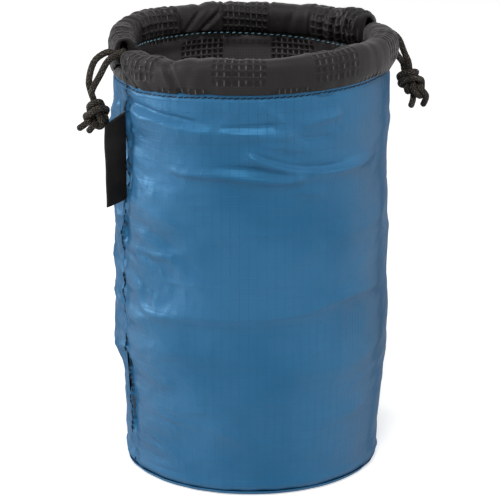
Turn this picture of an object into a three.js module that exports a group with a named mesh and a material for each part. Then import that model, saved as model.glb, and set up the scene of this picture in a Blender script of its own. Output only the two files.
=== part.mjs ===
// A round, soft lens pouch with a drawstring mouth, in millimetres, +Z up.
// The origin is the centre of the base, on the surface that the pouch stands on.
// -X is the side seam with the folded tab, and the front is -Y.
import * as THREE from 'three';

// The cloth body. Radii are those of the outside of the sleeve.
const pouch = {
  radius: 56.5,
  baseRadius: 53,
  baseTaperHeight: 56,
  seamRadius: 55.6,
  shoulderHeight: 5,
  seamHeight: 169,
  fabric: 0.5,
  padding: 3.5,
  layerGap: 0.3,
};

// The bottom panel, a shallow dish whose rim turns up to the sleeve.
const base = {
  rimHeight: 1.8,
  rimWidth: 2.6,
  fabric: 0.5,
};

// The drawstring collar: two hollow tunnels, one round each half of the mouth.
const collar = {
  halfWidth: 5.3,
  height: 13.7,
  wall: 0.6,
  sewnGap: 0.3,
  endGap: 6.6,
  cornerShare: 0.8,
  endShare: 0.93,
  taperLength: 11,
};

// The braided cord, and how two cords wind round each other inside the tunnels, where they lie
// a little below the middle.
const cord = {
  diameter: 2.6,
  twistRadius: 1.6,
  twistDrop: 1,
  faceGap: 0.3,
  strandGap: 0.4,
  bendShare: 2,
};

// The knot that ties the two ends of a cord. A tied cord is squeezed thinner.
const knot = {
  cordDiameter: 2.15,
  contactGap: 0.4,
  reach: 6.4,
  looseRadius: 3.6,
  looseDepth: 4.6,
  pull: 21,
};

// How the loose knot is drawn tight, as shares of its sizes and of the work.
const drawing = {
  openingShare: 0.16,
  spacingShare: 0.5,
  drawShare: 0.9,
  leadShare: 0.17,
  pushShare: 1.2,
  pressShare: 0.97,
  slackShare: 1.001,
  shortenShare: 0.998,
  stiffShare: 0.08,
  settleShare: 0.02,
  tautShare: 1.04,
  stepShare: 0.6,
};

// The folded tab that is caught in the side seam, which lies a little to the front of -X there.
const tab = {
  width: 8.9,
  height: 35.6,
  droop: 3.3,
  dropFromSeam: 34.2,
  seamShift: 5,
  layer: 0.45,
  foldGap: 0.5,
  seamGap: 0.3,
};

// How finely round shapes are cut into facets.
const facets = {
  round: 40,
  tunnelSection: 14,
  tunnelSteps: 24,
  cordSides: 8,
  cordSpacing: 6,
  cordSteps: 4,
  curveSteps: 40,
  bendSteps: 4,
  foldSteps: 6,
};

// How many points a cord of the knot has, how many of them count as near neighbours, and how
// often each part of the work is done.
const counts = {
  pointCount: 96,
  neighbourCount: 4,
  passCount: 6,
  sweepCount: 2600,
  centringCount: 3,
};

// Colour, roughness and metalness of each finish.
const finish = {
  ripstop: { color: 0x3f76a0, roughness: 0.55, metalness: 0 },
  lining: { color: 0x2a2827, roughness: 0.6, metalness: 0 },
  foam: { color: 0x4a4a4c, roughness: 0.95, metalness: 0 },
  cord: { color: 0x37322c, roughness: 0.85, metalness: 0 },
  satin: { color: 0x17171a, roughness: 0.4, metalness: 0 },
};

const model = new THREE.Group();

function addPiece(name, geometry, look) {
  const mesh = new THREE.Mesh(geometry, new THREE.MeshStandardMaterial(look));
  mesh.name = name;
  model.add(mesh);
}

// 0 below 0, 1 above 1 and an even S between.
function smoothStep(share) {
  const s = THREE.MathUtils.clamp(share, 0, 1);
  return s * s * (3 - 2 * s);
}

// Turns a closed outline of [radius, height] pairs about the Z axis.
function revolve(outline) {
  const points = outline.map(([radius, height]) => new THREE.Vector2(radius, height));
  return new THREE.LatheGeometry(points, facets.round).rotateX(Math.PI / 2);
}

// The walls
// The sleeve narrows to the bottom panel and draws in a little to the seam under the collar.
function sleeveRadius(height) {
  const spread = smoothStep(height / pouch.baseTaperHeight);
  const drawIn = smoothStep((height - pouch.seamHeight + pouch.shoulderHeight) / pouch.shoulderHeight);
  const wide = THREE.MathUtils.lerp(pouch.baseRadius, pouch.radius, spread);
  return wide - (pouch.radius - pouch.seamRadius) * drawIn;
}

// Heights at which a wall gets a ring of points, close together where it curves.
const wallHeightShares = [0, 0.1, 0.19, 0.28, 0.65, 0.965, 0.98, 1];

// A wall that lies a given depth inside the sleeve's outside, from one height to another.
function wallShell(depth, thickness, bottom, top, innerDrop = 0) {
  const heights = wallHeightShares.map((share) => THREE.MathUtils.lerp(bottom, top, share));
  const outside = heights.map((z) => [sleeveRadius(z) - depth, z]);
  const inside = heights.map((z, i) => [sleeveRadius(z) - depth - thickness, i ? z : z - innerDrop]);
  const outline = [...inside, ...outside.reverse()];
  return revolve([...outline, outline[0]].reverse());
}

const sleeveBottom = base.rimHeight + pouch.layerGap;
const paddingDepth = pouch.fabric + pouch.layerGap;
const liningDepth = paddingDepth + pouch.padding + pouch.layerGap;
const basePaddingBottom = base.fabric + pouch.layerGap;
const baseLiningBottom = basePaddingBottom + pouch.padding + pouch.layerGap;
const paddingRise = base.rimHeight;

addPiece('outer_sleeve', wallShell(0, pouch.fabric, sleeveBottom, pouch.seamHeight), finish.ripstop);
addPiece(
  'wall_padding',
  wallShell(
    paddingDepth,
    pouch.padding,
    basePaddingBottom + paddingRise,
    pouch.seamHeight - pouch.layerGap,
    paddingRise,
  ),
  finish.foam,
);
addPiece(
  'lining_sleeve',
  wallShell(liningDepth, pouch.fabric, baseLiningBottom, pouch.seamHeight),
  finish.lining,
);

// How far each point of the bottom panel's rim is along its quarter of an ellipse.
const rimShares = [1, 0.75, 0.5, 0.25, 0];

// The bottom panel: flat in the middle, with a rim that turns up in a quarter of an ellipse.
function baseDish() {
  const edge = sleeveRadius(0);
  const rimAngles = rimShares.map((share) => (share * Math.PI) / 2);
  const rim = (inset) =>
    rimAngles.map((angle) => [
      edge - base.rimWidth + (base.rimWidth - inset) * Math.sin(angle),
      inset + (base.rimHeight - inset) * (1 - Math.cos(angle)),
    ]);
  const outside = [...rim(0), [0, 0]];
  const inside = rim(base.fabric).reverse();
  return revolve([[0, base.fabric], ...inside, ...outside].reverse());
}

function disc(radius, bottom, thickness) {
  return revolve([
    [0, bottom],
    [radius, bottom],
    [radius, bottom + thickness],
    [0, bottom + thickness],
  ]);
}

const paddingInside = sleeveRadius(0) - paddingDepth - pouch.padding;
const liningInside = sleeveRadius(baseLiningBottom) - liningDepth - pouch.fabric;
addPiece('outer_base', baseDish(), finish.ripstop);
addPiece(
  'base_padding',
  disc(paddingInside - pouch.layerGap, basePaddingBottom, pouch.padding),
  finish.foam,
);
addPiece(
  'lining_base',
  disc(liningInside - pouch.layerGap, baseLiningBottom, pouch.fabric),
  finish.lining,
);

// The collar
// Both tunnels follow one circle, whose radius is that of the middle of the wall below.
const tunnel = {
  radius: pouch.seamRadius - (liningDepth + pouch.fabric) / 2,
  centreHeight: pouch.seamHeight + collar.sewnGap + collar.height / 2,
};

// A point on the rounded, nearly square section of a tunnel, for half sizes in both directions.
function sectionPoint(angle, halfWidth, halfHeight) {
  const across = Math.sign(Math.cos(angle)) * Math.abs(Math.cos(angle)) ** collar.cornerShare;
  const along = Math.sign(Math.sin(angle)) * Math.abs(Math.sin(angle)) ** collar.cornerShare;
  return [halfWidth * across, halfHeight * along];
}

// A hollow tunnel round half of the mouth, open at both ends, which narrow a little.
// side is -1 for the front and 1 for the back.
function tunnelHalf(side) {
  const endAngle = Math.asin(collar.endGap / 2 / tunnel.radius);
  const taperAngle = collar.taperLength / tunnel.radius;
  const rings = [];
  for (const inset of [0, collar.wall]) {
    for (let step = 0; step <= facets.tunnelSteps; step++) {
      const turn = THREE.MathUtils.lerp(endAngle, Math.PI - endAngle, step / facets.tunnelSteps);
      const fromEnd = Math.min(turn - endAngle, Math.PI - endAngle - turn);
      const size = THREE.MathUtils.lerp(collar.endShare, 1, smoothStep(fromEnd / taperAngle));
      const ring = [];
      for (let k = 0; k < facets.tunnelSection; k++) {
        const angle = (2 * Math.PI * k) / facets.tunnelSection;
        const halfWidth = collar.halfWidth * size - inset;
        const halfHeight = (collar.height / 2) * size - inset;
        const [out, rise] = sectionPoint(angle, halfWidth, halfHeight);
        const settle = (collar.height / 2) * (size - 1);
        const radius = tunnel.radius + out;
        ring.push(
          -radius * Math.cos(turn),
          side * radius * Math.sin(turn),
          tunnel.centreHeight + settle + rise,
        );
      }
      rings.push(ring);
    }
  }
  const count = facets.tunnelSection;
  const steps = facets.tunnelSteps + 1;
  const indices = [];
  const quad = (a, b, c, d) => indices.push(a, b, c, a, c, d);
  for (let k = 0; k < count; k++) {
    const next = (k + 1) % count;
    for (let step = 0; step < facets.tunnelSteps; step++) {
      const here = step * count;
      const there = here + count;
      quad(here + k, there + k, there + next, here + next);
      const inHere = here + steps * count;
      const inThere = inHere + count;
      quad(inHere + k, inHere + next, inThere + next, inThere + k);
    }
    const firstIn = steps * count;
    quad(k, next, firstIn + next, firstIn + k);
    const last = facets.tunnelSteps * count;
    const lastIn = last + firstIn;
    quad(last + k, lastIn + k, lastIn + next, last + next);
  }
  if (side > 0) {
    for (let i = 0; i < indices.length; i += 3) {
      [indices[i], indices[i + 1]] = [indices[i + 1], indices[i]];
    }
  }
  const geometry = new THREE.BufferGeometry();
  geometry.setAttribute('position', new THREE.Float32BufferAttribute(rings.flat(), 3));
  geometry.setIndex(indices);
  return geometry;
}

addPiece('front_collar', tunnelHalf(-1), finish.lining);
addPiece('back_collar', tunnelHalf(1), finish.lining);

// The cords
// Sweeps a round section along a curve. The curve's ends are the tube's flat end faces.
function cordTube(curve, diameter) {
  const section = new THREE.Shape();
  for (let k = 0; k < facets.cordSides; k++) {
    const angle = (2 * Math.PI * k) / facets.cordSides;
    const x = (diameter / 2) * Math.cos(angle);
    const y = (diameter / 2) * Math.sin(angle);
    if (k) section.lineTo(x, y);
    else section.moveTo(x, y);
  }
  section.closePath();
  return new THREE.ExtrudeGeometry(section, {
    steps: Math.max(facets.cordSteps, Math.round(curve.getLength() / curve.spacing)),
    extrudePath: curve,
  });
}

function smoothCurve(points, spacing) {
  const curve = new THREE.CatmullRomCurve3(points, false, 'centripetal');
  curve.arcLengthDivisions = facets.curveSteps * points.length;
  curve.spacing = spacing;
  return curve;
}

// Each cord leaves the tunnels at its own side, where its two strands turn outwards side by side.
const bendRadius = cord.bendShare * cord.diameter;
const strandOffset = (cord.diameter + cord.strandGap) / 2;
const exitOffset = bendRadius + strandOffset;
const twistHeight = tunnel.centreHeight - cord.twistDrop;
const exit = {
  radius: tunnel.radius,
  height: twistHeight + cord.twistRadius,
};

// A cord's run through one tunnel, from its own exit to the middle of the gap at the far side.
// It starts above the other cord and ends below it, after winding half a turn round it.
function tunnelRun(end, side) {
  const startTurn = Math.asin((exitOffset + cord.faceGap) / tunnel.radius);
  const endTurn = Math.PI - cord.faceGap / 2 / tunnel.radius;
  const count = Math.round((Math.PI * tunnel.radius) / facets.cordSpacing);
  const points = [];
  for (let i = 0; i <= count; i++) {
    const turn = THREE.MathUtils.lerp(startTurn, endTurn, i / count);
    const wind = Math.PI * smoothStep((turn - startTurn) / (endTurn - startTurn));
    const radius = tunnel.radius + end * cord.twistRadius * Math.sin(wind);
    points.push(
      new THREE.Vector3(
        end * radius * Math.cos(turn),
        side * radius * Math.sin(turn),
        twistHeight + cord.twistRadius * Math.cos(wind),
      ),
    );
  }
  return cordTube(smoothCurve(points, facets.cordSpacing), cord.diameter);
}

// Routes of the free strands, as [outwards, upwards] from where they have turned out of the
// collar. Each route then leads into the knot.
const strandRoutes = {
  left_front: [[3.7, -1.9], [7.3, -7.5]],
  left_back: [[2.6, 0.9], [8.3, -2.1], [10.4, -9]],
  right_front: [[3.4, -3], [6.5, -9.2]],
  right_back: [[4.4, -0.3], [8.6, -3.4], [11.6, -9.8]],
};

// Where each knot hangs, as distances outwards and down from the exit, the direction in which
// its strands leave it upwards, how far the back strand lies from the middle of the two there,
// and the ends of its front and back tails from its middle, as [outwards, upwards, towards the
// back]. hand is 1 or -1, the side to which its loops go round, and order is 1 where the cord
// from the front stays in front in the loops.
const knotPlaces = {
  left: {
    out: 14.6,
    down: 21.7,
    entry: [-0.2, 1],
    beside: [0.75, 0, 1.5],
    tails: [[3.4, -8, -1.4], [6.4, -7.6, 1.6]],
    hand: -1,
    order: 1,
  },
  right: {
    out: 19.8,
    down: 22.6,
    entry: [-0.8, 1],
    beside: [1.3, 0, 0.75],
    tails: [[-5.5, -9, -1.4], [-1.2, -11.8, 1.4]],
    hand: 1,
    order: -1,
  },
};

// A vector from distances outwards, upwards and towards the back, on one side of the pouch.
function sideways(end, [out, rise, back = 0]) {
  return new THREE.Vector3(end * out, back, rise);
}

// The strand that leads from one tunnel to the knot. It is thicker than the squeezed cord that
// it leads into, so it meets that cord a little aside from it.
function strandPoints(sideName, end, side, knotCord, aside) {
  const points = [];
  for (let i = 0; i <= facets.bendSteps; i++) {
    const angle = (Math.PI / 2) * (i / facets.bendSteps);
    points.push(
      new THREE.Vector3(
        end * (exit.radius + bendRadius * (1 - Math.cos(angle))),
        side * (exitOffset - bendRadius * Math.sin(angle)),
        exit.height,
      ),
    );
  }
  const turned = points[points.length - 1];
  const route = strandRoutes[`${sideName}_${side < 0 ? 'front' : 'back'}`];
  for (const place of route) points.push(turned.clone().add(sideways(end, place)));
  const upwards = knotCord[0].clone().sub(knotCord[1]).normalize();
  for (const distance of [cord.diameter, cord.faceGap]) {
    points.push(knotCord[0].clone().add(aside).addScaledVector(upwards, distance));
  }
  return points;
}

// The knot
// Two cords side by side are tied together in one overhand knot. They start as a loose trefoil,
// opened at one lobe, with its ends held apart. x runs along the knot, z is its depth.
const openingAngle = drawing.openingShare * Math.PI;
const knotSpacing = knot.cordDiameter + knot.contactGap;

function trefoil(angle) {
  return [
    Math.sin(angle) + 2 * Math.sin(2 * angle),
    Math.cos(angle) - 2 * Math.cos(2 * angle),
    -Math.sin(3 * angle),
  ];
}

// One cord of the loose knot: from its upper end into the trefoil and out to its lower end.
function looseCord(along, hand, shift, upperEnd, lowerEnd) {
  const depth = new THREE.Vector3(0, 1, 0);
  const across = depth.clone().cross(along).multiplyScalar(hand);
  const level = trefoil(openingAngle - Math.PI)[1];
  const last = counts.pointCount - 1;
  const lead = Math.round(counts.pointCount * drawing.leadShare);
  const points = [];
  for (let i = 0; i <= last; i++) {
    const share = THREE.MathUtils.clamp((i - lead) / (last - 2 * lead), 0, 1);
    const angle = THREE.MathUtils.lerp(openingAngle - Math.PI, Math.PI - openingAngle, share);
    const [x, y, z] = trefoil(angle);
    const point = new THREE.Vector3();
    point.addScaledVector(along, -x * knot.looseRadius);
    point.addScaledVector(across, (y - level) * knot.looseRadius);
    point.addScaledVector(depth, z * knot.looseDepth + shift);
    points.push(point);
  }
  for (let i = 0; i < lead; i++) {
    points[i].lerpVectors(upperEnd, points[lead], i / lead);
    points[last - i].lerpVectors(lowerEnd, points[last - lead], i / lead);
  }
  return points;
}

// Pushes apart the points of all cords that are closer than a squeezed cord is wide, apart from
// near neighbours on one cord. Returns the least distance that it found.
function pushApart(cords) {
  const all = cords.flat();
  const count = cords[0].length;
  const moves = all.map(() => new THREE.Vector3());
  const touches = all.map(() => 0);
  const gap = new THREE.Vector3();
  let least = Infinity;
  for (let i = 0; i < all.length; i++) {
    for (let j = i + 1; j < all.length; j++) {
      const sameCord = i < count === j < count;
      if (sameCord && j - i < counts.neighbourCount) continue;
      gap.subVectors(all[j], all[i]);
      const distance = gap.length();
      least = Math.min(least, distance);
      if (distance >= knotSpacing) continue;
      gap.multiplyScalar((knotSpacing / distance - 1) / 2);
      moves[j].add(gap);
      moves[i].sub(gap);
      touches[i]++;
      touches[j]++;
    }
  }
  all.forEach((point, i) => {
    if (touches[i]) point.addScaledVector(moves[i], drawing.pushShare / touches[i]);
  });
  return least;
}

// Straightens a cord a little and brings its points to one spacing, with its ends held.
function straighten(points, spacing, stiffness) {
  const before = points.map((point) => point.clone());
  const last = points.length - 1;
  for (let i = 1; i < last; i++) {
    const middle = before[i - 1].clone().add(before[i + 1]).multiplyScalar(0.5);
    points[i].lerp(middle, stiffness);
  }
  const gap = new THREE.Vector3();
  for (let pass = 0; pass < counts.passCount; pass++) {
    for (let i = 1; i <= last; i++) {
      gap.subVectors(points[i], points[i - 1]);
      gap.multiplyScalar((1 - spacing / gap.length()) / 2);
      if (i > 1) points[i - 1].add(gap);
      if (i < last) points[i].sub(gap);
    }
  }
}

// Draws the loose knot tight. Each cord gets shorter until it is taut, and both give way a
// little while they press on each other too hard.
function drawTight(cords) {
  const spacings = cords.map(() => knot.looseRadius * drawing.spacingShare);
  let least = 0;
  for (let sweep = 0; sweep < counts.sweepCount; sweep++) {
    least = pushApart(cords);
    const pressed = least < drawing.pressShare * knotSpacing;
    const settling = sweep > counts.sweepCount * drawing.drawShare;
    cords.forEach((points, c) => {
      straighten(points, spacings[c], settling ? drawing.settleShare : drawing.stiffShare);
      const stretch = points[1].distanceTo(points[0]) / spacings[c];
      if (settling) return;
      if (pressed) spacings[c] *= drawing.slackShare;
      else if (stretch < drawing.tautShare) spacings[c] *= drawing.shortenShare;
    });
  }
  return least;
}

// The part of a cord that lies within one distance of the middle above and another below.
function trimCord(points, above, below) {
  const inside = (i) => points[i].length() < (i < points.length / 2 ? above : below);
  let first = 0;
  while (!inside(first)) first++;
  let last = points.length - 1;
  while (!inside(last)) last--;
  const kept = points.slice(first, last + 1);
  const cut = (from, to, reach) => {
    const share = (reach - from.length()) / (to.length() - from.length());
    return from.clone().lerp(to, share);
  };
  kept.unshift(cut(points[first], points[first - 1], above));
  kept.push(cut(points[last], points[last + 1], below));
  return kept;
}

// Ties the knot of one side and puts it in its place. Returns its front and its back cord.
function tieKnot(sideName, end) {
  const place = knotPlaces[sideName];
  const entry = sideways(end, place.entry).normalize();
  const along = entry.clone().negate();
  const beside = sideways(end, place.beside);
  const cords = [-1, 1].map((side, c) => {
    const upperEnd = entry.clone().multiplyScalar(knot.pull).addScaledVector(beside, side);
    const lowerEnd = sideways(end, place.tails[c]).normalize().multiplyScalar(knot.pull);
    lowerEnd.y += side * strandOffset;
    const depth = (side * place.order * knotSpacing) / 2;
    return looseCord(along, place.hand, depth, upperEnd, lowerEnd);
  });
  const least = drawTight(cords);
  const knotted = cords.flat();
  const centre = new THREE.Vector3();
  for (let pass = 0; pass < counts.centringCount; pass++) {
    const near = knotted.filter((point) => point.distanceTo(centre) < knot.reach);
    centre.set(0, 0, 0);
    near.forEach((point) => centre.addScaledVector(point, 1 / near.length));
  }
  knotted.forEach((point) => point.sub(centre));
  const middle = sideways(end, [exit.radius + place.out, exit.height - place.down]);
  const tied = cords.map((points, c) => {
    const tailLength = sideways(end, place.tails[c]).length();
    return trimCord(points, knot.reach, tailLength).map((point) => point.add(middle));
  });
  const gap = (least - knot.cordDiameter).toFixed(2);
  console.log(`${sideName} knot: the cords come no closer to each other than ${gap} mm`);
  return tied;
}

for (const [sideName, end] of [['left', -1], ['right', 1]]) {
  const knotCords = tieKnot(sideName, end);
  const apart = knotCords[1][0].clone().sub(knotCords[0][0]);
  apart.setLength(Math.max(0, cord.diameter + cord.strandGap - apart.length()) / 2);
  [-1, 1].forEach((side, c) => {
    const half = side < 0 ? 'front' : 'back';
    const aside = apart.clone().multiplyScalar(side);
    const points = strandPoints(sideName, end, side, knotCords[c], aside);
    const strand = smoothCurve(points, cord.diameter);
    const tied = smoothCurve(knotCords[c], knot.cordDiameter * drawing.stepShare);
    addPiece(`${sideName}_cord_${half}_run`, tunnelRun(end, side), finish.cord);
    addPiece(`${sideName}_cord_${half}_strand`, cordTube(strand, cord.diameter), finish.cord);
    addPiece(`${sideName}_knot_${half}_cord`, cordTube(tied, knot.cordDiameter), finish.cord);
  });
}

// The tab
// A strip folded in half, its fold outwards, whose two ends are caught in the side seam.
// It droops towards the fold.
function foldedTab() {
  const centreHeight = pouch.seamHeight - tab.dropFromSeam;
  const sleeve = sleeveRadius(centreHeight);
  const inner = sleeve + tab.seamGap;
  const outer = inner + tab.width;
  const halfGap = tab.foldGap / 2;
  const halfThick = halfGap + tab.layer;
  const outline = new THREE.Shape();
  outline.moveTo(-inner, -halfThick);
  outline.lineTo(-inner, -halfGap);
  outline.lineTo(-outer + halfThick, -halfGap);
  outline.absarc(-outer + halfThick, 0, halfGap, -Math.PI / 2, Math.PI / 2, true);
  outline.lineTo(-inner, halfGap);
  outline.lineTo(-inner, halfThick);
  outline.lineTo(-outer + halfThick, halfThick);
  outline.absarc(-outer + halfThick, 0, halfThick, Math.PI / 2, -Math.PI / 2, false);
  outline.closePath();
  const strip = new THREE.ExtrudeGeometry(outline, {
    depth: tab.height,
    bevelEnabled: false,
    curveSegments: facets.foldSteps,
  });
  strip.translate(0, 0, centreHeight - tab.height / 2);
  const place = strip.attributes.position;
  for (let i = 0; i < place.count; i++) {
    const share = (-place.getX(i) - inner) / tab.width;
    place.setZ(i, place.getZ(i) - tab.droop * share);
  }
  return strip.rotateZ(tab.seamShift / sleeve);
}

addPiece('side_tab', foldedTab(), finish.satin);

export default model;
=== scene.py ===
import math

import bpy
import numpy as np
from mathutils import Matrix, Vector


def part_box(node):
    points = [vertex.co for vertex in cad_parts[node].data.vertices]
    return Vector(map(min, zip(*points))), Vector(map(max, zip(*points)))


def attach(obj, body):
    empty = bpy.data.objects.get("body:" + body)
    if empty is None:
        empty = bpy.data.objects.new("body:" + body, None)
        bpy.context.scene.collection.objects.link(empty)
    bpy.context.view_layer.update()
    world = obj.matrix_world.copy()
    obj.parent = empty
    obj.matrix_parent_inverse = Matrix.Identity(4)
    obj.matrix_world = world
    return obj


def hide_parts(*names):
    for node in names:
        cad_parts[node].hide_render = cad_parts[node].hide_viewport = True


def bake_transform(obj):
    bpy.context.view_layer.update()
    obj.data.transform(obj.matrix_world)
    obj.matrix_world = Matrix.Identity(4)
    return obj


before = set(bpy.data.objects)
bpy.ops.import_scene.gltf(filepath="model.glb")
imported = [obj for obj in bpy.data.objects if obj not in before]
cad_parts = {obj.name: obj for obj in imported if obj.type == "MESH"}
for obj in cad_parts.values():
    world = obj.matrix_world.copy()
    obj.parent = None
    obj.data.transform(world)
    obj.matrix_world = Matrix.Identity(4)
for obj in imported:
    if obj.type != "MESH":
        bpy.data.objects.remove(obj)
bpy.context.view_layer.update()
MM = 0.001

# %% [markdown]
# ## The camera
# The photograph looks down on the pouch by about 17 degrees from a metre away, with the side seam
# near the left edge. A long lens gives that view. A little shift puts the pouch where the frame has it.
# %% Camera
CAMERA_TURN = math.radians(-22)
CAMERA_RISE = math.radians(16.72)
CAMERA_DISTANCE = 1.0
LOOK_AT = Vector((0, 0, 0.09))
FOCAL_PIXELS = 2393.7
FRAME_PIXELS = 500
SENSOR_MM = 36.0
FRAME_SHIFT = (-0.0028, -0.0058)

camera = bpy.data.objects.new("camera", bpy.data.cameras.new("camera"))
bpy.context.scene.collection.objects.link(camera)
bpy.context.scene.camera = camera
towards_camera = Vector((
    math.sin(CAMERA_TURN) * math.cos(CAMERA_RISE),
    -math.cos(CAMERA_TURN) * math.cos(CAMERA_RISE),
    math.sin(CAMERA_RISE),
))
camera.location = LOOK_AT + towards_camera * CAMERA_DISTANCE
camera.rotation_euler = (-towards_camera).to_track_quat("-Z", "Y").to_euler()
camera.data.sensor_width = SENSOR_MM
camera.data.lens = FOCAL_PIXELS * SENSOR_MM / FRAME_PIXELS
camera.data.shift_x, camera.data.shift_y = FRAME_SHIFT
print("lens in mm:", round(camera.data.lens, 1))

# %% [markdown]
# ## Sizes
# The frame gives every size that another piece has to meet, such as the radius of the sleeve. Places
# on the pouch are given as a turn in degrees and a height. Turn 0 is the side seam at the left, 90 is
# the front, 180 the right and -90 the back.
# %% Sizes from the frame


def box_mm(node):
    """Lowest and highest corner of a CAD node, as two arrays in millimetres."""
    return [np.array(corner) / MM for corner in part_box(node)]


SLEEVE_RADIUS = box_mm("outer_sleeve")[1][0]
SEAM_HEIGHT = box_mm("outer_sleeve")[1][2]
SLEEVE_BOTTOM = box_mm("outer_sleeve")[0][2]
BASE_RADIUS = box_mm("outer_base")[1][0]
COLLAR_BOTTOM = box_mm("front_collar")[0][2]
COLLAR_TOP = box_mm("front_collar")[1][2]
# How deep each layer lies below the sleeve's plain surface, and how thick a cloth is, in mm.
PADDING_DEPTH = 0.8
PADDING_THICK = 3.5
LINING_DEPTH = 4.6
CLOTH = 0.4
print("sleeve radius, seam height, collar top:", SLEEVE_RADIUS, SEAM_HEIGHT, COLLAR_TOP)

# The sleeve widens up to one height, and is drawn in a little below the collar.
TAPER_HEIGHT = 56.0
SHOULDER = 5.0
SHOULDER_DRAW = 0.9


def smooth(share):
    """0 below 0, 1 above 1, and an even S between them: 3 s squared minus 2 s cubed."""
    s = np.clip(share, 0, 1)
    return s * s * (3 - 2 * s)


def sleeve_radius(height):
    """The plain sleeve: the base's radius at the bottom, full radius above the taper, and a little
    less at the seam under the collar."""
    wide = BASE_RADIUS + (SLEEVE_RADIUS - BASE_RADIUS) * smooth(height / TAPER_HEIGHT)
    return wide - SHOULDER_DRAW * smooth((height - SEAM_HEIGHT + SHOULDER) / SHOULDER)


# %% [markdown]
# ## Helpers for meshes
# Each surface is a grid of points, worked out as whole arrays and handed to Blender in one go. The
# UV map holds real sizes in metres, so that a weave keeps its scale on every piece.
# %% Put a grid into a mesh


def add_mesh(name, points, faces, corner_uv=None, flat_faces=()):
    """A mesh object from points in mm. faces is a list of index arrays, each (count, corners);
    the arrays whose places are in flat_faces are shaded flat."""
    mesh = bpy.data.meshes.new(name)
    flat_points = np.asarray(points, float).reshape(-1, 3) * MM
    mesh.vertices.add(len(flat_points))
    mesh.vertices.foreach_set("co", flat_points.ravel())
    loops = np.concatenate([part.ravel() for part in faces])
    sizes = np.concatenate([np.full(len(part), part.shape[1]) for part in faces])
    mesh.loops.add(len(loops))
    mesh.loops.foreach_set("vertex_index", loops)
    mesh.polygons.add(len(sizes))
    mesh.polygons.foreach_set("loop_start", np.concatenate([[0], np.cumsum(sizes)[:-1]]))
    shaded = np.concatenate([np.full(len(part), i not in flat_faces) for i, part in enumerate(faces)])
    mesh.update(calc_edges=True)
    mesh.polygons.foreach_set("use_smooth", shaded)
    if corner_uv is not None:
        layer = mesh.uv_layers.new(name="UVMap")
        layer.data.foreach_set("uv", corner_uv.ravel())
    mesh.validate()
    piece = bpy.data.objects.new(name, mesh)
    bpy.context.scene.collection.objects.link(piece)
    return piece


def grid_quads(rows, columns):
    """Corner numbers of the quads of a grid of points whose last column is joined to its first, and
    the grid places of those corners."""
    row, column = np.meshgrid(np.arange(rows - 1), np.arange(columns), indexing="ij")
    row, column = row.ravel(), column.ravel()
    rows_of = np.stack([row, row, row + 1, row + 1], axis=1)
    columns_of = np.stack([column, column + 1, column + 1, column], axis=1)
    return rows_of * columns + columns_of % columns, rows_of, columns_of


def add_tube(name, rings, u, v):
    """A tube from rings of points (ring, place round it, xyz). u is a length along it for each ring
    and v a length round it for each place and one more, both in mm. Its ends are closed flat."""
    count, sides = rings.shape[:2]
    quads, rows_of, columns_of = grid_quads(count, sides)
    first = np.arange(sides)[None, ::-1]
    last = np.arange(sides)[None] + (count - 1) * sides
    uv = np.stack([u[rows_of], v[columns_of]], axis=2).reshape(-1, 2) * MM
    uv = np.concatenate([uv, np.zeros((2 * sides, 2))])
    return add_mesh(name, rings, [quads, first, last], uv, flat_faces=(1, 2))


def turned(radius, turn, height):
    """Points at a radius, a turn in degrees and a height: x is minus radius times the turn's cosine,
    y is minus radius times its sine."""
    angle = np.radians(turn)
    return np.stack(np.broadcast_arrays(-radius * np.cos(angle), -radius * np.sin(angle), height), axis=-1)


# %% [markdown]
# ## Paths
# Cords and stitches follow lines through a few listed points. A Catmull-Rom curve passes
# through each of its points, so a route can be read off its list.
# %% Smooth paths and tubes
CURVE_STEPS = 24
# Any direction that no path starts along.
FIRST_SIDE = (0.3, 0.2, 0.9)


def path_lengths(path):
    """The length of the path up to each of its points."""
    return np.concatenate([[0], np.cumsum(np.linalg.norm(np.diff(path, axis=0), axis=1))])


def ring_lengths(ring):
    """The length round a closed ring up to each of its points, and back to the first."""
    return path_lengths(np.concatenate([ring, ring[:1]]))


def directions(vectors):
    """Each vector of a list, divided by its length."""
    return vectors / np.linalg.norm(vectors, axis=1, keepdims=True)


def smooth_path(points, step):
    """The centripetal Catmull-Rom curve through the points, at even steps of its length. Between two
    points it is a cubic whose end slopes follow from their neighbours."""
    points = np.asarray(points, float)
    gaps = np.sqrt(np.linalg.norm(np.diff(points, axis=0), axis=1))
    ahead, behind = gaps[1:, None], gaps[:-1, None]
    slopes = np.diff(points, axis=0) / gaps[:, None]
    middle = (slopes[:-1] * ahead + slopes[1:] * behind) / (ahead + behind)
    tangents = np.concatenate([slopes[:1], middle, slopes[-1:]])
    s = np.linspace(0, 1, CURVE_STEPS, endpoint=False)[None, :, None]
    width = gaps[:, None, None]
    curve = (
        (2 * s**3 - 3 * s**2 + 1) * points[:-1, None]
        + (s**3 - 2 * s**2 + s) * width * tangents[:-1, None]
        + (3 * s**2 - 2 * s**3) * points[1:, None]
        + (s**3 - s**2) * width * tangents[1:, None]
    )
    curve = np.concatenate([curve.reshape(-1, 3), points[-1:]])
    along = path_lengths(curve)
    count = max(2, round(along[-1] / step) + 1)
    places = np.linspace(0, along[-1], count)
    return np.stack([np.interp(places, along, curve[:, axis]) for axis in range(3)], axis=1)


def path_frames(path):
    """Two directions square to the path at each of its points, carried along it without twist."""
    tangent = directions(np.gradient(path, axis=0))
    side = np.cross(tangent[0], FIRST_SIDE)
    sides = []
    for direction in tangent:
        side = side - direction * (side @ direction)
        side = side / np.linalg.norm(side)
        sides.append(side)
    sides = np.array(sides)
    return sides, np.cross(tangent, sides)


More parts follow.
